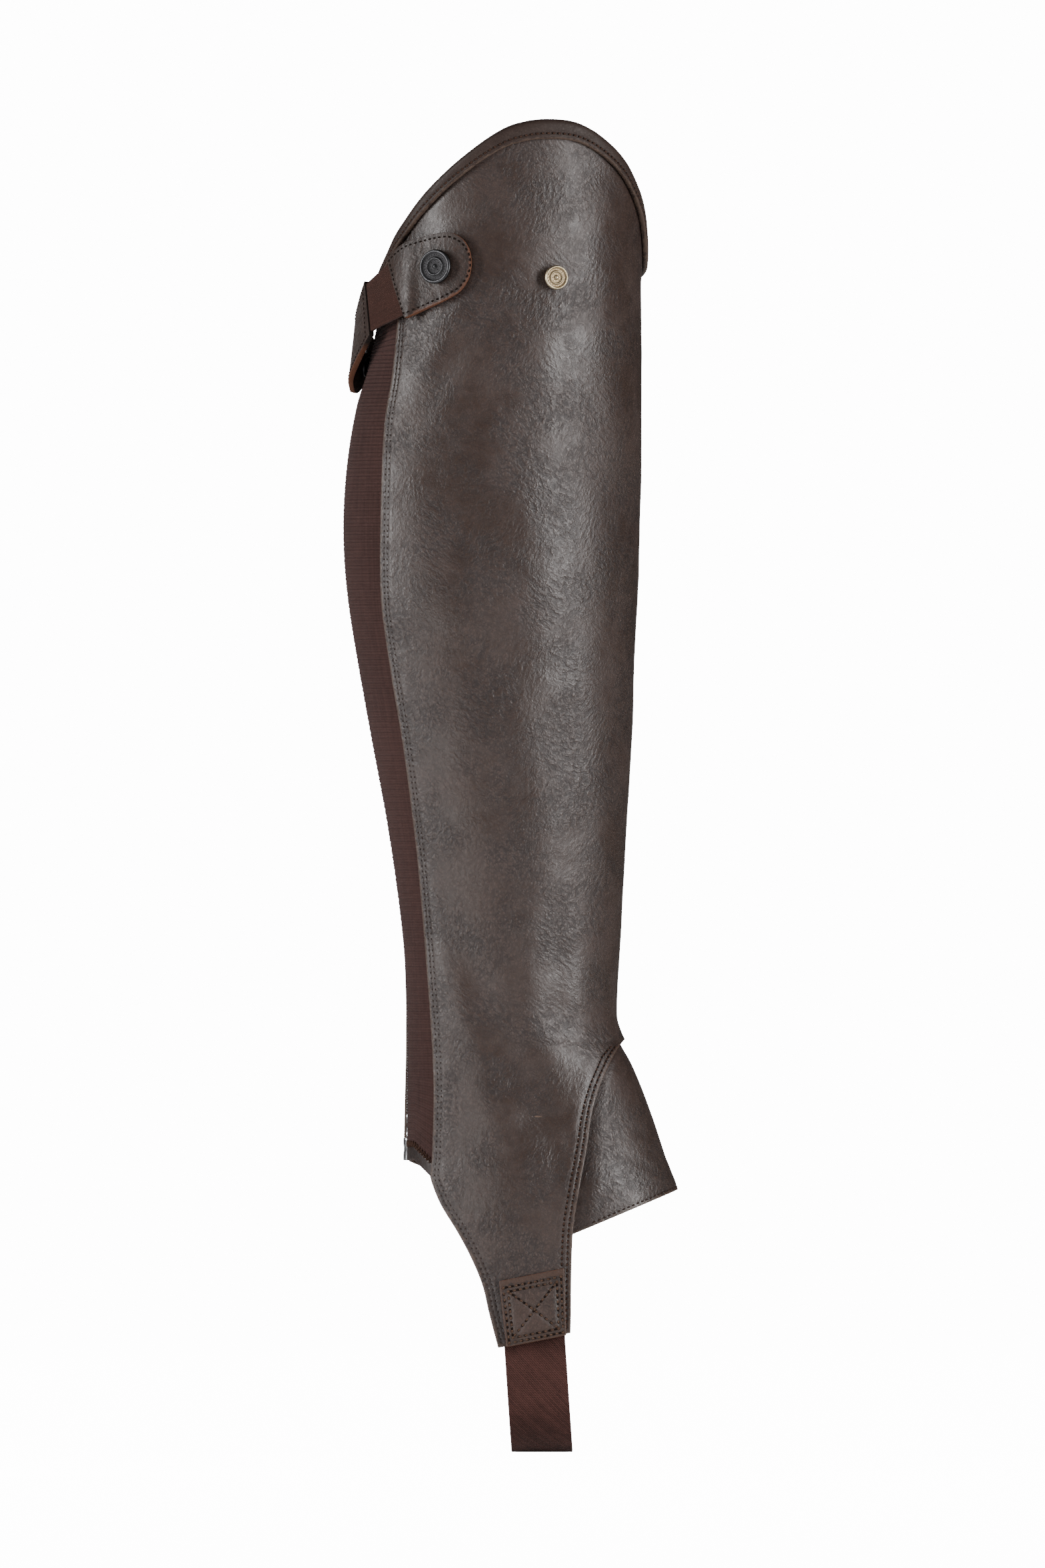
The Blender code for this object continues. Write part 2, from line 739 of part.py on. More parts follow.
def zip_place(height, side=0.0, out=0.0):
    """A point beside the zip's line."""
    return off_leg(back_angle(zip_side(height) + side, height), height, out)


def prism(name, outline, half):
    """A metal piece of the slider: an outline of drops and distances out, given a width across the zip."""
    made = bmesh.new()
    sides = [
        [made.verts.new(zip_place(SLIDER_TOP - drop, side, out) * MM) for drop, out in outline]
        for side in (-half, half)
    ]
    for k in range(len(outline)):
        n = (k + 1) % len(outline)
        made.faces.new([sides[0][k], sides[0][n], sides[1][n], sides[1][k]])
    made.faces.new(sides[0])
    made.faces.new(sides[1])
    return add_object(name, made, "zip_metal", soft=False)


def zip_pull():
    """The pull hangs from the bridge, behind the fastened strap. It is a flat tag with a slot."""
    places = {}
    for i, (drop, half) in enumerate(PULL):
        for j, side in enumerate((-half, -PULL_SLOT, PULL_SLOT, half)):
            places[i, j] = (SLIDER_TOP - drop, side)
    faces = [face for face in grid_faces(len(PULL) - 1, 3) if face[0] != (1, 1)]
    skins = [
        {key: zip_place(height, side, out) for key, (height, side) in places.items()}
        for out in (PULL_OUT, PULL_IN)
    ]
    return wall("zip_pull", skins[0], skins[1], faces, "zip_metal")


def turned(name, profile, centre, axis, finish):
    """A round piece with its seat at a centre and its face along an axis."""
    made = bmesh.new()
    turn = axis.to_track_quat("Z", "Y")

    def ring(radius, height):
        return [
            made.verts.new(
                (centre + turn @ Vector((radius * math.cos(a), radius * math.sin(a), height))) * MM
            )
            for a in (math.tau * k / TURN_SIDES for k in range(TURN_SIDES))
        ]

    rings = [ring(radius, height) for radius, height in profile]
    for a, b in zip(rings, rings[1:]):
        for k in range(TURN_SIDES):
            n = (k + 1) % TURN_SIDES
            made.faces.new([a[k], a[n], b[n], b[k]])
    made.faces.new(rings[0])
    made.faces.new(rings[-1])
    return add_object(name, made, finish)


def ribbon(name, stations, thick, inset, finish, columns=STRAP_COLUMNS):
    """A flat band through stations, pairs of points on its outer face's two edges. inset sinks that face."""
    outer, inner = {}, {}
    rows = len(stations) - 1
    for i, (upper, lower) in enumerate(stations):
        before, after = stations[max(i - 1, 0)], stations[min(i + 1, rows)]
        along = (after[0] + after[1]) - (before[0] + before[1])
        out = (lower - upper).cross(along).normalized()
        if out.dot(upper + lower - Vector((0, 0, (upper.z + lower.z)))) < 0:
            out = -out
        for j in range(columns + 1):
            point = upper.lerp(lower, j / columns)
            outer[i, j] = point - out * inset
            inner[i, j] = point - out * (inset + thick)
    return wall(name, outer, inner, grid_faces(rows, columns), finish)


def between(stations, place):
    """The pair of edge points at a place along the stations, on a smooth curve through them."""
    tables = [
        [(index, *station[edge]) for index, station in enumerate(stations)] for edge in (0, 1)
    ]
    return tuple(Vector([smooth(table, place, column) for column in (1, 2, 3)]) for table in tables)


def back_tab_stations():
    pairs = [(Vector(row[:3]), Vector(row[3:])) for row in BACK_TAB]
    return [between(pairs, k / 2) for k in range(2 * len(pairs) - 1)]


def front_tab():
    """The strap's front tab. It lies on the panel and lifts over the binding at the back."""
    outer, inner = {}, {}
    columns = STRAP_COLUMNS
    for i, (up_forward, up_height, low_forward, low_height, lift) in enumerate(FRONT_TAB):
        into = APPLIED_IN + lift
        out = into + STRAP_THICK
        ends = [
            (angle_at(forward, height, out), height)
            for forward, height in ((up_forward, up_height), (low_forward, low_height))
        ]
        for j in range(columns + 1):
            share = j / columns
            angle, height = (a + (b - a) * share for a, b in zip(*ends))
            outer[i, j] = off_leg(angle, height, out)
            inner[i, j] = off_leg(angle, height, into)
    stations = [(outer[i, 0], outer[i, columns]) for i in range(len(FRONT_TAB))]
    wall("strap_front_tab", outer, inner, grid_faces(len(FRONT_TAB) - 1, columns), "leather")
    return stations


def strap():
    """The strap: a front tab, a short elastic and a back tab whose end snaps on beside the zip."""
    front = front_tab()
    back = back_tab_stations()
    ribbon("strap_back_tab", back, STRAP_THICK, 0.0, "leather")
    join = [front[-2], front[-1], back[0], back[1]]
    stations = [between(join, 1 + k / ELASTIC_STATIONS) for k in range(ELASTIC_STATIONS + 1)]
    step = (stations[1][0] - stations[0][0]).normalized() * JOIN_GAP
    stations[0] = tuple(point + step for point in stations[0])
    step = (stations[-1][0] - stations[-2][0]).normalized() * JOIN_GAP
    stations[-1] = tuple(point - step for point in stations[-1])
    narrowed = [(a.lerp(b, ELASTIC_NARROWER), b.lerp(a, ELASTIC_NARROWER)) for a, b in stations]
    ribbon("strap_elastic", narrowed, ELASTIC_THICK, ELASTIC_SINK, "strap_elastic")
    return back


def snaps(back):
    """The snap on the front tab, the snap at the strap's end and the gold stud."""
    for name, profile, forward, height, out, finish in (
        ("snap_front", SNAP_CAP, SNAP_FORWARD, SNAP_HEIGHT, APPLIED_IN + STRAP_THICK + SNAP_SEAT, "snap_metal"),
        ("gold_stud", STUD_CAP, STUD_FORWARD, STUD_HEIGHT, APPLIED_IN, "brass"),
    ):
        angle = angle_at(forward, height, out)
        turned(name, profile, off_leg(angle, height, out), facing(angle, height), finish)
    upper, lower = back[BACK_SNAP_STATION]
    after, before = back[BACK_SNAP_STATION + 1], back[BACK_SNAP_STATION - 1]
    out = (lower - upper).cross(after[0] + after[1] - before[0] - before[1]).normalized()
    if out.x > 0:
        out = -out
    centre = (upper + lower) / 2
    turned("snap_back_cap", SNAP_CAP, centre + out * BACK_SNAP_SEAT, out, "snap_metal")
    turned("snap_back_socket", SOCKET, centre - out * (STRAP_THICK + BACK_SNAP_SEAT), -out, "snap_metal")
    angle = back_angle(centre.y, centre.z)
    seat = APPLIED_IN - drawn_in(angle - 360, centre.z)
    turned("snap_back_stud", STUD_BASE, off_leg(angle, centre.z, seat), facing(angle, centre.z), "snap_metal")


def stirrup():
    """The elastic stirrup, from inside the outer lobe round under the boot to the inner lobe."""
    low = STIRRUP_BOTTOM + STIRRUP_CORNER
    points = [(-STIRRUP_SIDE, STIRRUP_TOP), (-STIRRUP_SIDE, (STIRRUP_TOP + low) / 2)]
    for k in range(STIRRUP_CORNER_STEPS + 1):
        turn = math.radians(90 * k / STIRRUP_CORNER_STEPS)
        points.append(
            (-STIRRUP_SIDE + STIRRUP_CORNER * (1 - math.cos(turn)), low - STIRRUP_CORNER * math.sin(turn))
        )
    points += [(-side, height) for side, height in reversed(points)]
    outer, inner = {}, {}
    for i, (side, height) in enumerate(points):
        share = (STIRRUP_TOP - height) / (STIRRUP_TOP - STIRRUP_BOTTOM)
        middle = STIRRUP_MIDDLE_TOP + (STIRRUP_MIDDLE_LOW - STIRRUP_MIDDLE_TOP) * share
        before, after = points[max(i - 1, 0)], points[min(i + 1, len(points) - 1)]
        along = Vector((0, after[0] - before[0], after[1] - before[1])).normalized()
        into = Vector((0, -along.z, along.y))
        for j in (0, 1):
            point = Vector((middle + (j - 0.5) * STIRRUP_WIDTH, side, height))
            outer[i, j] = point
            inner[i, j] = point + into * STIRRUP_THICK
    return wall("stirrup_elastic", outer, inner, grid_faces(len(points) - 1, 1), "strap_elastic")


def patch(name, sign):
    """The patch that is sewn over a lobe's end."""
    (ub, ubh), (uf, ufh), (lb, lbh), (lf, lfh) = PATCH
    rows, columns = 5, 6
    places = {}
    for i in range(rows + 1):
        down = i / rows
        for j in range(columns + 1):
            share = j / columns
            back, front = ub + (lb - ub) * down, uf + (lf - uf) * down
            high, low = ubh + (ufh - ubh) * share, lbh + (lfh - lbh) * share
            height = high + (low - high) * down
            angle = angle_at(back + (front - back) * share, height, PATCH_OUT)
            places[i, j] = (sign * angle, height)
    return leg_wall(name, places, PATCH_OUT, APPLIED_IN, grid_faces(rows, columns), "leather")


def main():
    clear_scene()
    leather_panel()
    elastic_gusset()
    gusset_hem()
    instep_piece()
    top_band()
    zip_tape("zip_tape_outer", -1, ZIP_EDGE + TAPE_LAP_OUTER, (TAPE_OUT, TAPE_OUT, TAPE_OUT))
    zip_tape("zip_tape_inner", 1, ZIP_EDGE + TAPE_LAP_INNER, (TAPE_OUT, TAPE_OUT, TAPE_OUT_FAR))
    for row in ZIP_BARS:
        zip_bar(*row)
    prism("zip_slider", SLIDER_SIDE, SLIDER_HALF)
    prism("zip_bridge", BRIDGE_SIDE, BRIDGE_HALF)
    zip_pull()
    snaps(strap())
    stirrup()
    patch("patch_outer", 1)
    patch("patch_inner", -1)


main()
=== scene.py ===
"""The looks of a half chap for the right leg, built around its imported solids.

Sizes in the tables are millimetres. +X is the toe side, -Y the outer side of the leg and +Z is up.
Angles go round the leg in degrees from the front, the outer side first, and 180 is the back.
"""

import logging
import math
from collections.abc import Callable, Sequence
from dataclasses import dataclass
from enum import Enum
from functools import cache

import bmesh
import bpy
import numpy as np
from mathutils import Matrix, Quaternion, Vector, kdtree, noise


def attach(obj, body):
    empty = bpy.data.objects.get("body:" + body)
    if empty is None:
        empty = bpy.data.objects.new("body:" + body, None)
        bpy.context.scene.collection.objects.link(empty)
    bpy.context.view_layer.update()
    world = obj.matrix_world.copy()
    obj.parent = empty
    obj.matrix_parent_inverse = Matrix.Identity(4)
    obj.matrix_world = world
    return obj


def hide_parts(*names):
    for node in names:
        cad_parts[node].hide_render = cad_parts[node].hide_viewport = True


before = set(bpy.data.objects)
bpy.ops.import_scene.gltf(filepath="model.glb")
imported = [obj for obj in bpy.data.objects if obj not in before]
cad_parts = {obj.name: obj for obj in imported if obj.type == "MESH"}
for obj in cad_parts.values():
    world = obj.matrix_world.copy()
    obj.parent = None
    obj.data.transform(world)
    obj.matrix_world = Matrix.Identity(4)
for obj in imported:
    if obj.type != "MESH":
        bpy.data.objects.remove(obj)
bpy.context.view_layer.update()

MM = 0.001
Points = np.ndarray
Level = Points | float
Color = tuple[float, float, float]
Table = tuple[tuple[float, ...], ...]
Rings = Points | list[list[Sequence[float]]]
Thing, Mesh, Draft = bpy.types.Object, bpy.types.Mesh, bmesh.types.BMesh
Material, Tree, Node, Socket = bpy.types.Material, bpy.types.NodeTree, bpy.types.Node, bpy.types.NodeSocket
Edge = Callable[[Points], Points]
Sources = dict[str | int, object]
Named = dict[str, str]
WHITE = (1.0, 1.0, 1.0)
log = logging.getLogger("half_chap")

# Thicknesses, and the distance of each layer from the leg surface.
LEATHER = 2.0
UNDER_OUT = -0.4
UNDER_IN = -1.9
APPLIED_IN = 2.3
PATCH_OUT = 3.9
BAND_OUT = 4.4
BAND_WIDTH = 8.3
STRAP_THICK = 2.2
# Two rows of stitches run beside every cut edge of the panel: their distances from the edge along the gusset
# and the zip, the same in front of the lobes, how deep and wide they pull the leather in, and how far their
# middle stands out of that groove.
STITCH_ROWS = (1.95, 3.65)
FRONT_ROWS = (1.8, 3.95)
GROOVE_DEPTH = 0.24
GROOVE_HALF = 0.5
STITCH_RISE = 0.05
STITCH_PITCH = 2.35
# The seed of the small random turns of stitches.
TURN_SEED = 7
# A wall's edges that turn by more than this many degrees are rounded.
WALL_EDGE = 55
# Turned and cast metal is shaded flat across edges sharper than this many degrees.
METAL_SHARP = 50


def bent(value: Points, power: float) -> Points:
    """A power of a value's size, with the value's sign."""
    return np.copysign(np.abs(value) ** power, value)


def unit(vectors: Points) -> Points:
    """Vectors made one long."""
    return vectors / np.maximum(np.linalg.norm(vectors, axis=-1, keepdims=True), 1e-9)


def bell(distance: Points, half: float) -> Points:
    """A smooth bump over distances: 1 at 0, and little past twice the half width."""
    return np.exp(-((distance / half) ** 2))


def run_along(points: Points) -> Points:
    """How far along a line of points each of them lies."""
    return np.concatenate(([0.0], np.cumsum(np.linalg.norm(np.diff(points, axis=0), axis=1))))


@dataclass(frozen=True)
class Curve:
    """A smooth curve through a table's rows, read by their first column."""

    rows: Table

    def at(self, value: Level, column: int = 1) -> Points:
        """Reads a column of the table.

        Args:
            value: Where to read, in the first column's measure. It is kept inside the table.
            column: The column that is read.

        Returns:
            The column's value at each place.
        """
        table = np.array(sorted(self.rows), float)
        key, level = table[:, 0], table[:, column]
        slope = np.empty_like(level)
        slope[1:-1] = (level[2:] - level[:-2]) / (key[2:] - key[:-2])
        slope[0] = (level[1] - level[0]) / (key[1] - key[0])
        slope[-1] = (level[-1] - level[-2]) / (key[-1] - key[-2])
        value = np.clip(value, key[0], key[-1])
        k = np.clip(np.searchsorted(key, value, side="right") - 1, 0, len(key) - 2)
        span = key[k + 1] - key[k]
        t = (value - key[k]) / span
        return (
            level[k] * (1 + 2 * t) * (1 - t) ** 2
            + span * slope[k] * t * (1 - t) ** 2
            + level[k + 1] * t * t * (3 - 2 * t)
            + span * slope[k + 1] * t * t * (t - 1)
        )


@dataclass(frozen=True)
class Leg:
    """The leg surface that every panel lies on, and the lines drawn on it."""

    # height, front, back, half width
    sections: Curve = Curve((
        (172, 59.0, -41.0, 51.0), (130, 59.0, -43.0, 51.4), (112, 59.0, -44.5, 51.8),
        (95, 59.0, -46.8, 52.4), (75, 59.2, -50.5, 53.2), (56, 59.2, -54.8, 54.0), (42, 59.2, -59.0, 54.5),
        (20, 59.0, -62.8, 55.0), (-3, 58.5, -64.5, 55.0), (-25, 57.9, -64.0, 54.5),
        (-47, 56.9, -61.5, 53.2), (-92, 55.2, -53.7, 49.2), (-136, 52.8, -45.6, 44.6),
        (-181, 50.3, -39.5, 40.4), (-208, 48.9, -37.9, 38.6), (-216, 49.2, -37.8, 38.3),
        (-224, 52.2, -37.7, 38.0), (-232, 56.6, -37.7, 37.9), (-247, 62.9, -37.9, 37.9),
        (-270, 70.8, -38.1, 38.4), (-285, 76.3, -38.3, 38.8), (-305, 80.9, -38.6, 39.0),
        (-356, 82.9, -39.0, 39.0)))
    squareness: float = 2.25
    shin_taper: float = 0.07
    # forward, height
    top_outer: Table = (
        (62.2, 125.6), (58.8, 137.0), (52.2, 148.2), (37.0, 159.4), (22.2, 161.6), (6.6, 159.3),
        (-12.4, 148.2), (-30.6, 131.4), (-38.8, 120.2), (-42.6, 114.2))
    # angle, height
    top_back: Table = ((158, 107), (166, 100), (174, 94), (183, 90))
    top_front: Table = ((0, 111), (-20, 104), (-50, 97.5), (-90, 93), (-135, 90), (-180, 89))
    # height, forward
    gusset_seam: Curve = Curve((
        (125, -36.5), (104, -40.0), (83, -41.1), (58, -43.4), (34, -47.0), (-5, -48.6), (-39, -48.4),
        (-65, -45.0), (-102, -38.9), (-145, -33.6), (-191, -29.5), (-237, -26.7), (-270, -27.2),
        (-282, -28.3)))
    # height, side
    zip_line: Curve = Curve(((95, 8.6), (0, 10.0), (-110, 9.4), (-190, 6.6), (-240, 2.0), (-274, -0.8)))
    zip_edge: float = 5.2

    def section(self, height: Level) -> tuple[Points, Points, Points]:
        """The middle, half depth and half width of the leg at a height."""
        front, back, wide = (self.sections.at(height, column) for column in (1, 2, 3))
        return (front + back) / 2, (front - back) / 2, wide

    def on(self, angle: Level, height: Level) -> Points:
        """The points of the leg surface at angles and heights."""
        middle, deep, wide = self.section(height)
        c, s = np.cos(np.radians(angle)), np.sin(np.radians(angle))
        x = middle + deep * bent(c, 2 / self.squareness)
        y = -wide * bent(s, 2 / self.squareness) * (1 - self.shin_taper * c)
        return np.stack(np.broadcast_arrays(x, y, height), axis=-1).astype(float)

    def facing(self, angle: Level, height: Level) -> Points:
        """The directions that the leg surface faces."""
        height = np.asarray(height, float)
        angle = np.asarray(angle, float)
        round_it = self.on(angle + 1.5, height) - self.on(angle - 1.5, height)
        up_it = self.on(angle, height + 1.0) - self.on(angle, height - 1.0)
        return unit(np.cross(up_it, round_it))

    def off(self, angle: Level, height: Level, out: Level) -> Points:
        """The points at a distance out from the leg surface."""
        return self.on(angle, height) + self.facing(angle, height) * np.asarray(out, float)[..., None]

    def angle_at(self, forward: Level, height: Level, out: Level = 0.0) -> Points:
        """The angle on the outer side at which a skin that far out reaches a forward place."""
        middle, deep, _ = self.section(height)
        c = np.clip((forward - middle) / (deep + out), -1.0, 1.0)
        return np.degrees(np.arccos(bent(c, self.squareness / 2)))

    def back_angle(self, side: Level, height: Level) -> Points:
        """The angle near the back of the leg at a place to the inner side."""
        wide = self.section(height)[2] * (1 + self.shin_taper)
        return 180 + np.degrees(np.arcsin(bent(side / wide, self.squareness / 2)))

    def degrees(self, distance: Level, angle: Points, height: Level) -> Points:
        """How many degrees a distance round the surface is."""
        chord = self.on(angle + 1, height) - self.on(angle - 1, height)
        return distance / np.linalg.norm(chord, axis=-1) * 2

    def seam_angle(self, height: Level) -> Points:
        """The main panel's edge along the gusset."""
        return self.angle_at(self.gusset_seam.at(height), height, LEATHER)

    def zip_angle(self, height: Level, side: Level = 0.0) -> Points:
        """The angle at a place beside the zip's line."""
        return self.back_angle(self.zip_line.at(height) + side, height)

    def zip_point(self, height: Level, side: Level = 0.0, out: Level = 0.0) -> Points:
        """A point beside the zip's line."""
        return self.off(self.zip_angle(height, side), height, out)

    def top_height(self, angle: Level) -> Points:
        """The height of the top edge at an angle."""
        outer = tuple((float(self.angle_at(f, h, BAND_OUT)), h) for f, h in self.top_outer)
        return Curve((*outer, *self.top_back, *self.top_front)).at(angle)


LEG = Leg()


class Layer(Enum):
    """The faces of a wall, each with its own finish."""

    FACE = 0
    RIM = 1
    INSIDE = 2


class Lie(Enum):
    """How each repeated thing lies on its path: the angle that it is turned to either side, by turns."""

    STRAIGHT = 0.0
    ZIGZAG = 1.25
    CROSSWISE = math.pi / 2


@dataclass
class Path:
    """A line on a surface that something repeats along."""

    points: Points
    lay: Points

    def resampled(self, step: float) -> "Path":
        """The same line with points a step apart."""
        run = run_along(self.points)
        places = np.linspace(0, run[-1], max(2, int(round(run[-1] / step)) + 1))
        points, lay = (np.stack([np.interp(places, run, part) for part in data.T], 1)
                       for data in (self.points, self.lay))
        return Path(points, unit(lay))


def laid(angle: Points, height: Points, out: Level) -> Path:
    """The line through angles and heights, at a distance out from the leg surface."""
    return Path(LEG.off(angle, height, out), LEG.facing(angle, height))


class Graph:
    """Adds nodes to a tree and joins them."""

    def __init__(self, tree: Tree) -> None:
        """Keeps the tree that the nodes go into."""
        self.tree = tree

    def feed(self, socket: Socket, source: object) -> None:
        """Links a socket to another, or sets it to a value."""
        if isinstance(source, Socket):
            self.tree.links.new(source, socket)
        elif source is not None:
            socket.default_value = (*source, 1.0) if socket.type == "RGBA" else source

    def add(self, kind: str, sources: Sources | None = None, **settings: object) -> Node:
        """Adds a node.

        Args:
            kind: The node's type.
            sources: What goes into its inputs, by name or number: sockets or values.
            settings: Its own settings.

        Returns:
            The node.
        """
        made = self.tree.nodes.new(kind)
        made.location = (190 * (len(self.tree.nodes) // 3), -220 * (len(self.tree.nodes) % 3))
        for name, value in settings.items():
            setattr(made, name, value)
        for key, source in (sources or {}).items():
            self.feed(made.inputs[key], source)
        return made

    def math(self, operation: str, *values: object) -> Socket:
        """A Math node's result."""
        return self.add("ShaderNodeMath", dict(enumerate(values)), operation=operation).outputs[0]

    def times(self, first: object, second: object, added: object = None) -> Socket:
        """A product, with something added where that is given."""
        if added is None:
            return self.math("MULTIPLY", first, second)
        return self.math("MULTIPLY_ADD", first, second, added)

    def vector(self, operation: str, *values: object) -> Socket:
        """A Vector Math node's result. SCALE takes its factor as the second value."""
        sources: Sources = dict(enumerate(values))
        if operation == "SCALE":
            sources = {0: values[0], "Scale": values[1]}
        return self.add("ShaderNodeVectorMath", sources, operation=operation).outputs[0]

    def span(self, value: object, low: float, high: float, start: float = 0.0, stop: float = 1.0) -> Socket:
        """A value taken from one range to another along a soft curve."""
        sources = {"Value": value, "From Min": low, "From Max": high, "To Min": start, "To Max": stop}
        return self.add("ShaderNodeMapRange", sources, interpolation_type="SMOOTHSTEP").outputs[0]

    def noise(self, place: object, scale: object, detail: float = 2.0, bend: float = 0.0) -> Socket:
        """A Noise texture's value."""
        sources = {"Vector": place, "Scale": scale, "Detail": detail, "Distortion": bend}
        return self.add("ShaderNodeTexNoise", sources).outputs[0]

    def cells(self, place: object, scale: object, feature: str = "DISTANCE_TO_EDGE") -> Socket:
        """A Voronoi texture's distance."""
        sources = {"Vector": place, "Scale": scale}
        return self.add("ShaderNodeTexVoronoi", sources, feature=feature).outputs["Distance"]

    def blend(self, share: object, first: object, second: object, mode: str = "MIX") -> Socket:
        """Two colours mixed."""
        made = self.add("ShaderNodeMix", {0: share, 6: first, 7: second}, data_type="RGBA", blend_type=mode)
        return made.outputs[2]

    def closed(self, geometry: Socket, material: Socket, result: Node) -> Tree:
        """Ends a Geometry Nodes tree: realized, with its material set."""
        real = self.add("GeometryNodeRealizeInstances", {0: geometry}).outputs[0]
        dressed = self.add("GeometryNodeSetMaterial", {"Geometry": real, "Material": material}).outputs[0]
        self.feed(result.inputs[0], dressed)
        return self.tree


SOCKETS = {"vector": "NodeSocketVector", "float": "NodeSocketFloat", "color": "NodeSocketColor",
           "geometry": "NodeSocketGeometry", "object": "NodeSocketObject", "int": "NodeSocketInt",
           "material": "NodeSocketMaterial"}


def tree_with(name: str, kind: str, inputs: Named, outputs: Named) -> tuple[Graph, dict[str, Socket], Node]:
    """Makes a node group with named sockets.

    Args:
        name: The group's name.
        kind: The tree's type.
        inputs: The inputs' names and kinds.
        outputs: The outputs' names and kinds.

    Returns:
        The group's graph, its input sockets by name, and its output node.
    """
    tree = bpy.data.node_groups.new(name, kind)
    for side, sockets in (("INPUT", inputs), ("OUTPUT", outputs)):
        for label, sort in sockets.items():
            tree.interface.new_socket(label, in_out=side, socket_type=SOCKETS[sort])
    graph = Graph(tree)
    given, result = graph.add("NodeGroupInput"), graph.add("NodeGroupOutput")
    return graph, {label: given.outputs[label] for label in inputs}, result


@cache
def grain_group() -> Tree:
    """Leather grain: wrinkles that lie one way here and another there, veins, pebbles and pores, with painted
    shade in its hollows and veins.
    """
    inputs = {"Vector": "vector", "Pebble": "float", "Break": "float"}
    outputs = {"Height": "float", "Hollow": "float"}
    graph, given, result = tree_with("grain", "ShaderNodeTree", inputs, outputs)
    place = graph.vector("SCALE", given["Vector"], graph.math("DIVIDE", 1.0, given["Pebble"]))
    drift = graph.add("ShaderNodeTexNoise", {"Vector": place, "Scale": 0.3, "Detail": 2.0}).outputs["Color"]
    drift = graph.vector("SCALE", graph.vector("SUBTRACT", drift, (0.5, 0.5, 0.5)), 1.7)
    loose = graph.vector("ADD", place, drift)
    lines = []
    for way in ((0.42, 0.30, 0.857), (0.80, 0.20, -0.566)):
        run = graph.add("ShaderNodeVectorMath", {0: loose, 1: way}, operation="DOT_PRODUCT").outputs["Value"]
        shrunk = graph.vector("SCALE", way, graph.times(run, -0.5))
        lines.append(graph.span(graph.noise(graph.vector("ADD", loose, shrunk), 1.0, 3.0), 0.27, 0.69))
    share = graph.span(graph.noise(place, 0.06, 1.0), 0.42, 0.58)
    wrinkles = graph.times(graph.math("SUBTRACT", lines[1], lines[0]), share, lines[0])
    pebbles = graph.span(graph.cells(graph.vector("MULTIPLY", loose, (1.0, 1.0, 0.75)), 1.2), 0.0, 0.5)
    pores = graph.noise(place, 3.2, 2.0)
    strength = graph.times(graph.span(graph.noise(place, 0.07, 2.0), 0.36, 0.62, 0.5, 1.0), given["Break"])
    level = graph.vector("MULTIPLY", loose, (0.75, 0.75, 1.0))
    veins = graph.math("ABSOLUTE", graph.math("SUBTRACT", graph.noise(level, 0.14, 4.0, 0.6), 0.5))
    shown = graph.span(graph.noise(place, 0.11, 1.0), 0.45, 0.58, 0.0, 0.55)
    veins = graph.times(graph.span(veins, 0.0, 0.035, 1.0, 0.0), shown)
    height = graph.times(wrinkles, 0.65, graph.times(pebbles, 0.22))
    height = graph.times(pores, 0.13, height)
    height = graph.times(veins, -0.2, height)
    graph.feed(result.inputs["Height"], graph.times(height, strength))
    # The second output is painted shade: darker in the hollows between pebbles and wrinkles, and along the
    # veins.
    hollow_shade = graph.math("SUBTRACT", 1.0, graph.times(pebbles, 0.5, graph.times(wrinkles, 0.5)))
    hollow_shade = graph.math("MAXIMUM", graph.span(hollow_shade, 0.1, 0.95), veins)
    graph.feed(result.inputs["Hollow"], graph.times(hollow_shade, strength))
    return graph.tree


@cache
def mottle_group() -> Tree:
    """Broad cloudy changes of tone."""
    inputs = {"Vector": "vector", "Size": "float"}
    graph, given, result = tree_with("mottle", "ShaderNodeTree", inputs, {"Value": "float"})
    place = graph.vector("SCALE", given["Vector"], graph.math("DIVIDE", 1.0, given["Size"]))
    broad, fine = graph.noise(place, 1.0, 3.0, 0.4), graph.noise(place, 6.0, 2.0)
    mixed = graph.times(fine, 0.35, graph.times(broad, 0.65))
    graph.feed(result.inputs["Value"], graph.span(mixed, 0.34, 0.66))
    return graph.tree


@cache
def wear_group() -> Tree:
    """Wear beside an edge, from the distance to it in millimetres."""
    inputs = {"Vector": "vector", "Distance": "float", "Width": "float"}
    graph, given, result = tree_with("wear", "ShaderNodeTree", inputs, {"Mask": "float"})
    ragged = graph.span(graph.noise(given["Vector"], 420.0, 3.0), 0.3, 0.7, 0.35, 1.5)
    share = graph.math("DIVIDE", given["Distance"], graph.times(ragged, given["Width"]))
    graph.feed(result.inputs["Mask"], graph.span(share, 0.55, 1.0, 1.0, 0.0))
    return graph.tree


@cache
def weave_group() -> Tree:
    """A woven surface from a place along and across it in metres: its ridges, and each yarn's own tone."""
    inputs = {"Place": "vector", "Pitch": "float", "Slant": "float", "Cross": "float"}
    graph, given, result = tree_with("weave", "ShaderNodeTree", inputs, {"Height": "float", "Yarn": "float"})
    parts = graph.add("ShaderNodeSeparateXYZ", {0: given["Place"]})
    across, along = parts.outputs[0], parts.outputs[1]
    phase = graph.math("DIVIDE", graph.times(along, given["Slant"], across), given["Pitch"])
    turns = graph.math("DIVIDE", along, given["Cross"])
    staggered = graph.math("ADD", turns, graph.math("FLOOR", phase))
    ridge, knuckle = (graph.math("ABSOLUTE", graph.math("SINE", graph.times(turn, math.pi)))
                      for turn in (phase, staggered))
    height = graph.times(ridge, 0.65, graph.times(knuckle, 0.35))
    graph.feed(result.inputs["Height"], height)
    rows = graph.add("ShaderNodeCombineXYZ", {0: graph.math("FLOOR", phase), 1: graph.times(turns, 0.08)})
    yarn = graph.add("ShaderNodeTexWhiteNoise", {0: graph.vector("FLOOR", rows.outputs[0])}).outputs[0]
    graph.feed(result.inputs["Yarn"], yarn)
    return graph.tree


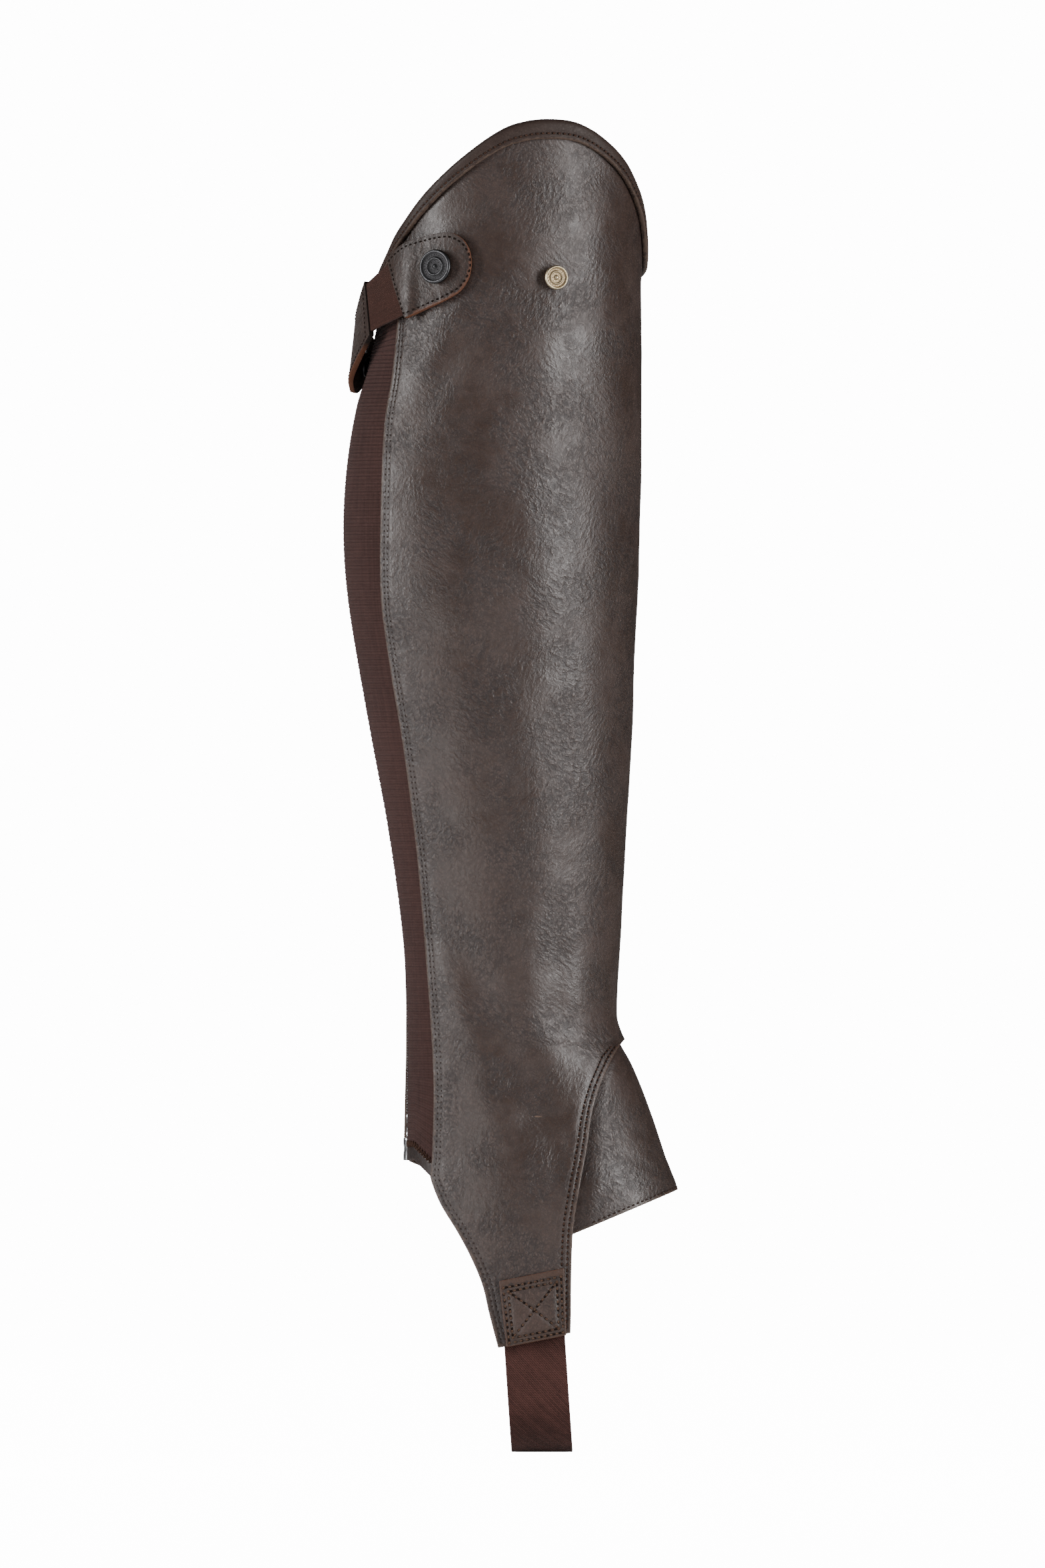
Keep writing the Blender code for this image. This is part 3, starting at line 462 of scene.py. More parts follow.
class Dresser:
    """Starts a material, and holds what every finish reads."""

    def __init__(self, name: str) -> None:
        """Makes the material with its Principled shader."""
        self.material = bpy.data.materials.new(name)
        self.material.use_nodes = True
        self.graph = Graph(self.material.node_tree)
        self.shader = self.material.node_tree.nodes["Principled BSDF"]
        self.place = self.graph.add("ShaderNodeTexCoord").outputs["Object"]

    def group(self, tree: Tree, **sources: object) -> Node:
        """Adds a node group with its own values. One that asks for a Vector gets the place on the object."""
        made = self.graph.add("ShaderNodeGroup", node_tree=tree)
        if "Vector" in made.inputs:
            sources["Vector"] = self.place
        for key, source in sources.items():
            self.graph.feed(made.inputs[key], source)
        return made

    def mark(self, name: str) -> Socket:
        """A number that the mesh carries."""
        return self.graph.add("ShaderNodeAttribute", attribute_name=name).outputs["Fac"]

    def bump(self, height: object, depth: float) -> None:
        """Raises the surface by a height of that depth in metres."""
        bump = self.graph.add("ShaderNodeBump", {"Strength": 1.0, "Distance": depth, "Height": height})
        self.graph.feed(self.shader.inputs["Normal"], bump.outputs[0])

    def finish(self, color: object, roughness: object, **fixed: object) -> Material:
        """Joins colour and roughness, and sets what is the same all over."""
        self.graph.feed(self.shader.inputs["Base Color"], color)
        self.graph.feed(self.shader.inputs["Roughness"], roughness)
        for name, value in fixed.items():
            self.shader.inputs[name.replace("_", " ")].default_value = value
        return self.material


@dataclass(frozen=True)
class LeatherFinish:
    """Grained leather, worn and darker along its edges, with painted shade in the grain's hollows and the
    stitch grooves.
    """

    name: str
    tone: Color
    light: Color
    hollow_shade: Color
    edge: Color
    edge_width: float = 0.8
    edge_share: float = 0.7
    pebble: float = 0.00145
    relief: float = 0.00025
    breaks: float = 1.0
    rough: tuple[float, float] = (0.33, 0.44)
    specular: float = 0.66

    def make(self) -> Material:
        """The material."""
        dress = Dresser(self.name)
        graph = dress.graph
        grain = dress.group(grain_group(), Pebble=self.pebble, Break=self.breaks)
        mottle = dress.group(mottle_group(), Size=0.036).outputs[0]
        wear = dress.group(wear_group(), Distance=dress.mark("edge"), Width=self.edge_width)
        color = graph.blend(mottle, self.tone, self.light)
        # Painted shade: darker in the grain's hollows.
        color = graph.blend(graph.times(grain.outputs["Hollow"], 0.85), color, self.hollow_shade)
        color = graph.blend(graph.times(wear.outputs[0], self.edge_share), color, self.edge)
        # Painted shade along the stitch grooves that the mesh marks.
        groove = graph.times(dress.mark("groove"), 0.4)
        color = graph.blend(groove, color, self.hollow_shade)
        rough = graph.times(grain.outputs["Hollow"], 0.18, graph.span(mottle, 0.0, 1.0, *self.rough))
        dress.bump(grain.outputs["Height"], self.relief)
        return dress.finish(color, rough, Specular_IOR_Level=self.specular)


@dataclass(frozen=True)
class RawFinish:
    """Cut leather or its flesh side: matt, with short fibres, and dark where it is marked as painted."""

    name: str
    tone: Color
    light: Color
    painted: Color = (0.016, 0.010, 0.008)
    fibre: float = 0.0006
    relief: float = 0.00012

    def make(self) -> Material:
        """The material."""
        dress = Dresser(self.name)
        graph = dress.graph
        fibres = graph.noise(dress.place, 1 / self.fibre, 4.0, 0.8)
        mottle = dress.group(mottle_group(), Size=0.02).outputs[0]
        share = graph.times(fibres, 0.5, graph.times(mottle, 0.5))
        color = graph.blend(share, self.tone, self.light)
        color = graph.blend(graph.span(dress.mark("painted"), 0.3, 0.7), color, self.painted)
        dress.bump(fibres, self.relief)
        return dress.finish(color, graph.span(fibres, 0.0, 1.0, 0.72, 0.92), Specular_IOR_Level=0.25)


@dataclass(frozen=True)
class WovenFinish:
    """Elastic, tape or webbing. It reads the piece's own UV map, which is in metres."""

    name: str
    tone: Color
    light: Color
    pitch: float
    slant: float
    cross: float
    relief: float = 0.00012
    groove_shade_tone: float = 0.72
    sheen: float = 0.06

    def make(self) -> Material:
        """The material."""
        dress = Dresser(self.name)
        graph = dress.graph
        place = graph.add("ShaderNodeUVMap", uv_map="UVMap").outputs[0]
        weave = dress.group(weave_group(), Place=place, Pitch=self.pitch, Slant=self.slant, Cross=self.cross)
        mottle = dress.group(mottle_group(), Size=0.03).outputs[0]
        share = graph.times(weave.outputs["Yarn"], 0.25, graph.times(mottle, 0.2))
        # The weave's ridges are lighter and its valleys darker: painted shade by the ridges' height, over
        # each yarn's own tone and mottling.
        share = graph.times(weave.outputs["Height"], 0.6, share)
        color = graph.blend(graph.span(share, 0.1, 0.95), self.tone, self.light)
        # Painted shade in the hollows that the mesh marks as grooves.
        deep = tuple(part * self.groove_shade_tone for part in self.tone)
        color = graph.blend(dress.mark("groove"), color, deep)
        dress.bump(weave.outputs["Height"], self.relief)
        rough = graph.span(weave.outputs["Height"], 0.0, 1.0, 0.9, 0.72)
        return dress.finish(
            color, rough, Sheen_Weight=self.sheen, Sheen_Roughness=0.5, Specular_IOR_Level=0.2)


@dataclass(frozen=True)
class MetalFinish:
    """Plated metal with small dents, random stains, and painted shade in the hollows that a piece marks."""

    name: str
    tone: Color
    dark: Color
    rough: tuple[float, float] = (0.28, 0.45)
    metallic: float = 1.0

    def make(self) -> Material:
        """The material."""
        dress = Dresser(self.name)
        graph = dress.graph
        stains = graph.span(graph.noise(dress.place, 900.0, 4.0, 0.5), 0.4, 0.68)
        # Random stains, and painted shade in the marked hollows.
        stains_and_shade = graph.math("MAXIMUM", graph.times(stains, 0.6), dress.mark("groove"))
        color = graph.blend(stains_and_shade, self.tone, self.dark)
        scuffs = graph.noise(dress.place, 2600.0, 3.0)
        dress.bump(scuffs, 0.00003)
        return dress.finish(color, graph.span(stains_and_shade, 0.0, 1.0, *self.rough), Metallic=self.metallic)


@dataclass(frozen=True)
class ThreadFinish:
    """Waxed sewing thread."""

    name: str
    tone: Color
    light: Color

    def make(self) -> Material:
        """The material."""
        dress = Dresser(self.name)
        graph = dress.graph
        twist = graph.noise(dress.place, 1500.0, 2.0)
        color = graph.blend(graph.span(twist, 0.3, 0.7), self.tone, self.light)
        dress.bump(twist, 0.00008)
        return dress.finish(color, graph.span(twist, 0.0, 1.0, 0.65, 0.9), Specular_IOR_Level=0.15)


class Finishes:
    """Every finish of the half chap, each made once."""

    def __init__(self) -> None:
        """Makes the materials."""
        self.leather = LeatherFinish(
            "leather_grained", (0.048, 0.029, 0.022), (0.067, 0.043, 0.035), (0.012, 0.005, 0.004),
            (0.098, 0.060, 0.042), edge_share=0.55, edge_width=1.3).make()
        self.binding = LeatherFinish(
            "leather_smooth", (0.042, 0.026, 0.021), (0.050, 0.032, 0.026), (0.022, 0.012, 0.009),
            (0.098, 0.064, 0.047), pebble=0.0011, relief=0.00007, breaks=0.7, rough=(0.44, 0.54),
            specular=0.32).make()
        self.tab = LeatherFinish(
            "leather_tab", (0.057, 0.036, 0.029), (0.068, 0.046, 0.039), (0.014, 0.007, 0.005),
            (0.125, 0.055, 0.034), edge_width=1.1, edge_share=0.75, relief=0.0002, specular=0.5).make()
        self.patch = LeatherFinish(
            "leather_patch", (0.072, 0.043, 0.033), (0.086, 0.055, 0.045), (0.014, 0.007, 0.005),
            (0.066, 0.033, 0.021), edge_width=0.9, edge_share=0.8, relief=0.00016, specular=0.55).make()
        self.hem = LeatherFinish(
            "leather_hem", (0.028, 0.015, 0.012), (0.036, 0.021, 0.017), (0.010, 0.005, 0.004),
            (0.060, 0.030, 0.021), edge_share=0.5, relief=0.00016).make()
        self.edge = RawFinish("leather_edge", (0.060, 0.038, 0.030), (0.130, 0.085, 0.062)).make()
        self.raw = RawFinish("leather_raw_edge", (0.095, 0.036, 0.019), (0.175, 0.072, 0.040)).make()
        self.flesh = RawFinish("leather_flesh_side", (0.105, 0.068, 0.050), (0.160, 0.112, 0.086)).make()
        self.cut_leather = (self.leather, self.edge, self.flesh)
        self.cut_tab = (self.tab, self.raw, self.flesh)
        self.gusset = WovenFinish(
            "elastic_ribbed", (0.030, 0.012, 0.010), (0.068, 0.031, 0.026), 0.00045, 0.0, 0.0011,
            groove_shade_tone=0.75).make()
        self.strap_elastic = WovenFinish(
            "elastic_fine", (0.027, 0.010, 0.007), (0.056, 0.021, 0.015), 0.0007, 0.0, 0.0007).make()
        self.stirrup = WovenFinish(
            "elastic_twill", (0.020, 0.007, 0.005), (0.086, 0.033, 0.027), 0.0010, -0.85, 0.00075,
            relief=0.0002).make()
        self.tape = WovenFinish(
            "tape_woven", (0.010, 0.009, 0.010), (0.026, 0.023, 0.024), 0.0006, 0.5, 0.0006).make()
        self.zip_metal = MetalFinish("zip_plated", (0.52, 0.52, 0.53), (0.16, 0.16, 0.16)).make()
        self.gunmetal = MetalFinish(
            "snap_gunmetal", (0.085, 0.084, 0.088), (0.022, 0.021, 0.022), (0.3, 0.5)).make()
        self.brass = MetalFinish("stud_brass", (0.88, 0.76, 0.52), (0.20, 0.13, 0.07), (0.26, 0.45)).make()
        self.thread = ThreadFinish("thread_brown", (0.007, 0.003, 0.002), (0.014, 0.007, 0.005)).make()
        self.thread_soft = ThreadFinish(
            "thread_soft_brown", (0.030, 0.018, 0.014), (0.048, 0.030, 0.023)).make()
        self.thread_seam = ThreadFinish("thread_reddish", (0.040, 0.019, 0.013), (0.070, 0.036, 0.025)).make()
        self.thread_light = ThreadFinish("thread_tan", (0.074, 0.040, 0.027), (0.125, 0.074, 0.051)).make()


def edge_distance(points: Points, quads: Points) -> Points:
    """How far each point of a skin is from the skin's border.

    Args:
        points: The skin's points.
        quads: Its faces, as four point numbers each.

    Returns:
        The distances, in the points' measure.
    """
    border = border_edges(quads, len(points))
    tree = kdtree.KDTree(len(border) * 4)
    for k, (a, b) in enumerate(border):
        for part in range(4):
            tree.insert(points[a] + (points[b] - points[a]) * part / 4, k * 4 + part)
    tree.balance()
    return np.array([tree.find(point)[2] for point in points])


def border_edges(quads: Points, count: int) -> Points:
    """The edges that only one face has, in that face's order."""
    starts = quads.ravel()
    stops = np.roll(quads, -1, axis=1).ravel()
    forward, backward = starts * count + stops, stops * count + starts
    alone = ~np.isin(forward, backward)
    return np.stack([starts[alone], stops[alone]], 1)


def grid_quads(rows: int, columns: int) -> Points:
    """The faces of a grid of points with that many rows and columns of faces."""
    i, j = np.meshgrid(np.arange(rows), np.arange(columns), indexing="ij")
    at = i * (columns + 1) + j
    return np.stack([at, at + 1, at + columns + 2, at + columns + 1], -1).reshape(-1, 4)


def grooves(distance: Points, rows: tuple[float, ...]) -> Points:
    """How strongly stitch rows pull a skin in at a distance from its edge, from 0 to 1."""
    return sum(bell(distance - row, GROOVE_HALF) for row in rows)


def ruffle(points: Points, size: float, seed: float) -> Points:
    """Smooth unevenness over points, from -1 to 1, with bumps of a size."""
    shift = Vector((seed, 3.7 * seed, -seed))
    return np.array([noise.noise(Vector(point) / size + shift) for point in points.reshape(-1, 3)])


def settle(thing: Thing) -> Thing:
    """Makes an object's modifiers part of its mesh."""
    depsgraph = bpy.context.evaluated_depsgraph_get()
    mesh = bpy.data.meshes.new_from_object(thing.evaluated_get(depsgraph), depsgraph=depsgraph)
    thing.modifiers.clear()
    old, thing.data = thing.data, mesh
    bpy.data.meshes.remove(old)
    mesh.name = thing.name
    return thing


def link(name: str, mesh: Mesh, *materials: Material) -> Thing:
    """An object of a mesh, in the scene."""
    thing = bpy.data.objects.new(name, mesh)
    bpy.context.scene.collection.objects.link(thing)
    for material in materials:
        mesh.materials.append(material)
    return thing


def mark_points(mesh: Mesh, name: str, values: Points) -> None:
    """Gives each point of a mesh a number, or a direction, under a name."""
    kind, field = ("FLOAT_VECTOR", "vector") if values.ndim > 1 else ("FLOAT", "value")
    mesh.attributes.new(name, kind, "POINT").data.foreach_set(field, values.astype(np.float32).ravel())


def round_edges(thing: Thing, width: float, angle: float = 30.0) -> None:
    """Rounds the edges that turn by more than an angle in degrees, to a width in millimetres."""
    bevel = thing.modifiers.new("rounded edge", "BEVEL")
    bevel.width = width * MM
    bevel.segments = 2
    bevel.limit_method = "ANGLE"
    bevel.angle_limit = math.radians(angle)
    settle(thing)


def loft(made: Draft, rings: Rings, *tips: Sequence[float]) -> None:
    """Joins closed rings of points, each to the next. An end without a tip is one flat face, and else a fan.

    Args:
        made: The mesh that the faces go into.
        rings: The rings, as points in metres.
        tips: The tip of the first ring, and that of the last.
    """
    loops = [[made.verts.new(point) for point in ring] for ring in rings]
    count = len(loops[0])
    ends = [None if tip is None else made.verts.new(tip) for tip in (*tips, None, None)[:2]]
    for a, b in zip(loops, loops[1:]):
        for k in range(count):
            made.faces.new([a[k], a[(k + 1) % count], b[(k + 1) % count], b[k]])
    for end, loop in zip(ends, (loops[0], loops[-1])):
        if end is None:
            made.faces.new(loop)
            continue
        for k in range(count):
            made.faces.new([end, loop[k], loop[(k + 1) % count]])


def meshed(name: str, made: Draft) -> Mesh:
    """A mesh with its normals out."""
    bmesh.ops.recalc_face_normals(made, faces=made.faces)
    mesh = bpy.data.meshes.new(name)
    made.to_mesh(mesh)
    made.free()
    return mesh


def smooth_faces(mesh: Mesh, sharp: float = 40.0) -> None:
    """Shades a mesh smooth, but for edges sharper than an angle in degrees."""
    mesh.shade_smooth()
    mesh.set_sharp_from_angle(angle=math.radians(sharp))


@dataclass
class Wall:
    """A closed wall: two skins with the same faces, and a rounded rim between them."""

    name: str
    outer: Points
    inner: Points
    quads: Points
    along: Points
    marks: dict[str, Points]
    rounding: float = 0.5

    def build(self, face: Material, rim: Material | None = None,
              inside: Material | None = None) -> Thing:
        """Makes the object.

        Args:
            face: The finish of the outer skin.
            rim: The finish of the cut edge, where it is another one.
            inside: The finish of the inner skin, where it is another one.

        Returns:
            The object, with its UV map in metres and its marks on both skins.
        """
        count = len(self.outer)
        border = border_edges(self.quads, count)
        rims = np.stack([border[:, 1], border[:, 0], border[:, 0] + count, border[:, 1] + count], 1)
        faces = np.concatenate([self.quads, self.quads[:, ::-1] + count, rims])
        mesh = bpy.data.meshes.new(self.name)
        points = np.concatenate([self.outer, self.inner]) * MM
        mesh.from_pydata(points.tolist(), [], faces.tolist())
        layer = np.repeat([Layer.FACE.value, Layer.INSIDE.value, Layer.RIM.value],
                          [len(self.quads), len(self.quads), len(rims)])
        mesh.polygons.foreach_set("material_index", layer.astype(np.int32))
        for name, values in self.marks.items():
            mark_points(mesh, name, np.tile(values, 2))
        corners = np.zeros(len(mesh.loops), np.int32)
        mesh.loops.foreach_get("vertex_index", corners)
        uv = mesh.uv_layers.new(name="UVMap")
        uv.data.foreach_set("uv", (np.tile(self.along, (2, 1))[corners] * MM).astype(np.float32).ravel())
        made = bmesh.new()
        made.from_mesh(mesh)
        bmesh.ops.recalc_face_normals(made, faces=made.faces)
        made.to_mesh(mesh)
        made.free()
        thing = link(self.name, mesh, face, rim or face, inside or face)
        round_edges(thing, self.rounding, WALL_EDGE)
        smooth_faces(thing.data)
        return thing


def grid_wall(name: str, outer: Points, inner: Points, rounding: float = 0.5,
              groove: Points | None = None) -> Wall:
    """A wall of two grids of points.

    Args:
        name: The piece's name.
        outer: The outer skin, as rows and columns of points.
        inner: The inner skin.
        rounding: The radius of its edges.
        groove: How grooved each point is, from 0 to 1, as a mark that the finishes darken into painted shade.

    Returns:
        The wall. Its UV map runs across the columns, and then along the rows.
    """
    rows, columns = outer.shape[0] - 1, outer.shape[1] - 1
    quads = grid_quads(rows, columns)
    flat = outer.reshape(-1, 3)
    across, along = run_along(outer[rows // 2]), run_along(outer[:, columns // 2])
    uv = np.stack(np.meshgrid(across, along), -1).reshape(-1, 2)
    groove = np.zeros(len(flat)) if groove is None else groove.ravel()
    marks = {"edge": edge_distance(flat, quads), "groove": groove}
    return Wall(name, flat, inner.reshape(-1, 3), quads, uv, marks, rounding)


@cache
def repeat_tree() -> Tree:
    """The Geometry Nodes tree that sets a thing again and again along paths."""
    inputs = {"Geometry": "geometry", "Thing": "object", "Pitch": "float", "Turn": "float", "Uneven": "float",
              "Seed": "int", "Material": "material"}
    graph, given, result = tree_with("repeat_along", "GeometryNodeTree", inputs, {"Geometry": "geometry"})
    curve = graph.add("GeometryNodeMeshToCurve", {0: given["Geometry"]}).outputs[0]
    sources = {"Curve": curve, "Length": given["Pitch"]}
    spaced = graph.add("GeometryNodeResampleCurve", sources, mode="LENGTH").outputs[0]
    thing = graph.add("GeometryNodeObjectInfo", {"Object": given["Thing"]}).outputs["Geometry"]
    tangent = graph.add("GeometryNodeInputTangent").outputs[0]
    lay = graph.add("GeometryNodeInputNamedAttribute", {"Name": "lay"}, data_type="FLOAT_VECTOR").outputs[0]
    upright = graph.add("FunctionNodeAlignRotationToVector", {"Vector": lay}, axis="Z").outputs[0]
    lined = graph.add("FunctionNodeAlignRotationToVector", {"Rotation": upright, "Vector": tangent},
                      axis="X", pivot_axis="Z").outputs[0]
    index = graph.add("GeometryNodeInputIndex").outputs[0]
    side = graph.times(graph.math("MODULO", index, 2.0), 2.0, -1.0)
    sources = {2: -1.0, 3: 1.0, "Seed": given["Seed"]}
    chance = graph.add("FunctionNodeRandomValue", sources, data_type="FLOAT").outputs[1]
    turn = graph.times(side, given["Turn"], graph.times(chance, given["Uneven"]))
    about = graph.add("FunctionNodeAxisAngleToRotation", {"Axis": (0.0, 0.0, 1.0), "Angle": turn}).outputs[0]
    sources = {"Rotation": lined, "Rotate By": about}
    turned = graph.add("FunctionNodeRotateRotation", sources, rotation_space="LOCAL").outputs[0]
    sources = {"Points": spaced, "Instance": thing, "Rotation": turned}
    placed = graph.add("GeometryNodeInstanceOnPoints", sources).outputs[0]
    return graph.closed(placed, given["Material"], result)


@cache
def rib_tree() -> Tree:
    """The Geometry Nodes tree that raises round ribs on a wall, from each point's place among them."""
    inputs = {"Geometry": "geometry", "Depth": "float", "Material": "material"}
    graph, given, result = tree_with("ribs", "GeometryNodeTree", inputs, {"Geometry": "geometry"})
    row = graph.add("GeometryNodeInputNamedAttribute", {"Name": "rib"}, data_type="FLOAT").outputs[0]
    share = graph.add("GeometryNodeInputNamedAttribute", {"Name": "outside"}, data_type="FLOAT").outputs[0]
    lay = graph.add("GeometryNodeInputNamedAttribute", {"Name": "lay"}, data_type="FLOAT_VECTOR").outputs[0]
    crest = graph.math("POWER", graph.math("ABSOLUTE", graph.math("COSINE", graph.times(row, math.pi))), 0.6)
    sink = graph.times(graph.math("SUBTRACT", crest, 1.0), graph.times(share, given["Depth"]))
    sources = {"Geometry": given["Geometry"], "Offset": graph.vector("SCALE", lay, sink)}
    moved = graph.add("GeometryNodeSetPosition", sources).outputs[0]
    return graph.closed(moved, given["Material"], result)


def grow(thing: Thing, tree: Tree, values: dict[str, object]) -> Thing:
    """Runs a Geometry Nodes tree on an object and keeps the result as its mesh.

    Args:
        thing: The object.
        tree: The tree.
        values: The values of its named inputs.

    Returns:
        The same object with a plain mesh.
    """
    modifier = thing.modifiers.new(tree.name, "NODES")
    modifier.node_group = tree
    for socket in tree.interface.items_tree:
        if socket.in_out == "INPUT" and socket.name in values:
            modifier[socket.identifier] = values[socket.name]
    return settle(thing)


def repeat(name: str, paths: list[Path], thing: Thing, pitch: float, material: Material,
           lie: Lie = Lie.STRAIGHT, uneven: float = 0.05, closed: bool = False) -> Thing:
    """Sets a thing again and again along paths.

    Args:
        name: The new piece's name.
        paths: The paths.
        thing: What is repeated. It lies along X, with its foot on Z 0.
        pitch: The spacing, in millimetres.
        material: The new piece's finish.
        lie: How each lies on its path.
        uneven: How far each is turned at random, in radians.
        closed: Whether each path closes on itself.

    Returns:
        The piece, with a plain mesh.
    """
    points, edges, lays = [], [], []
    for path in paths:
        first = len(points)
        points += (path.points * MM).tolist()
        lays += path.lay.tolist()
        edges += [(k, k + 1) for k in range(first, len(points) - 1)]
        if closed:
            edges.append((len(points) - 1, first))
    mesh = bpy.data.meshes.new(name)
    mesh.from_pydata(points, edges, [])
    mark_points(mesh, "lay", np.array(lays))
    made = link(name, mesh)
    values = {"Thing": thing, "Pitch": pitch * MM, "Turn": lie.value, "Uneven": uneven, "Material": material}
    grow(made, repeat_tree(), {**values, "Seed": TURN_SEED})
    made.data.shade_smooth()
    return made


def publish(thing: Thing, slot: str, *nodes: str) -> Thing:
    """Sets a finished piece on the body, hides the nodes that it stands for, and reports it with their names.
    """
    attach(thing, "root")
    if nodes:
        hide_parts(*nodes)
    log.info("%s: %d faces, %s", thing.name, len(thing.data.polygons), ", ".join(nodes) or "added")
    return thing


def capsule(name: str, length: float, width: float, height: float, sides: int = 6, rings: int = 4) -> Thing:
    """A pattern for one stitch: a rounded bar along X, with its foot a little under Z 0."""
    turns = [math.tau * k / sides for k in range(sides)]
    loops = []
    for i in range(1, rings):
        lean = math.pi * i / rings
        x, size = -math.cos(lean) * length / 2, math.sin(lean) ** 0.55
        loops.append([(x * MM, math.cos(turn) * width / 2 * size * MM, math.sin(turn) * height * size * MM)
                      for turn in turns])
    foot = -height * 0.4 * MM
    made = bmesh.new()
    loft(made, loops, (-length / 2 * MM, 0, foot), (length / 2 * MM, 0, foot))
    return pattern(name, made)


def pattern(name: str, made: Draft) -> Thing:
    """An object that other pieces are repeated from. It isn't in the scene itself."""
    return bpy.data.objects.new(name, meshed(name, made))


@dataclass
class Sewing:
    """The stitches, all from one needle."""

    length: float = 1.5
    width: float = 0.78
    height: float = 0.30
    pitch: float = STITCH_PITCH

    def __post_init__(self) -> None:
        """Makes the stitch that all rows repeat, and the thread and hole of the thicker rows."""
        self.stitch = capsule("stitch", self.length, self.width, self.height)
        self.fine = capsule("fine_stitch", self.length * 0.62, self.width * 0.55, self.height * 0.9)
        self.wide = capsule("wide_stitch", self.length * 2.1, self.width * 0.62, self.height * 1.4)
        self.thread = capsule("thread", self.length * 0.95, self.width * 1.1, self.height * 1.4)
        self.hole = capsule("hole", self.length * 0.9, self.width * 1.3, self.height * 0.9)

    def laced(self, name: str, paths: list[Path], thread: Material, hole: Material,
              slot: str = "leather", pitch: float = STITCH_PITCH) -> list[Thing]:
        """Sews thicker rows: brown thread that shows between its dark holes. Returns both pieces."""
        shifted = [path.resampled(pitch / 2) for path in paths]
        shifted = [Path(path.points[1:], path.lay[1:]) for path in shifted]
        threads = repeat(f"{name}_threads", paths, self.thread, pitch, thread)
        holes = repeat(f"{name}_holes", shifted, self.hole, pitch, hole)
        return [publish(threads, slot), publish(holes, slot)]

    def rows(self, name: str, paths: list[Path], material: Material, slot: str,
             stitch: Thing | None = None) -> Thing:
        """Sews rows of stitches along paths and sets them on the body."""
        return publish(repeat(name, paths, stitch or self.stitch, self.pitch, material), slot)

    def zigzag(self, name: str, path: Path, material: Material, slot: str) -> Thing:
        """Sews a zigzag row along a path and sets it on the body."""
        return publish(repeat(name, [path], self.wide, self.pitch * 0.4, material, Lie.ZIGZAG), slot)


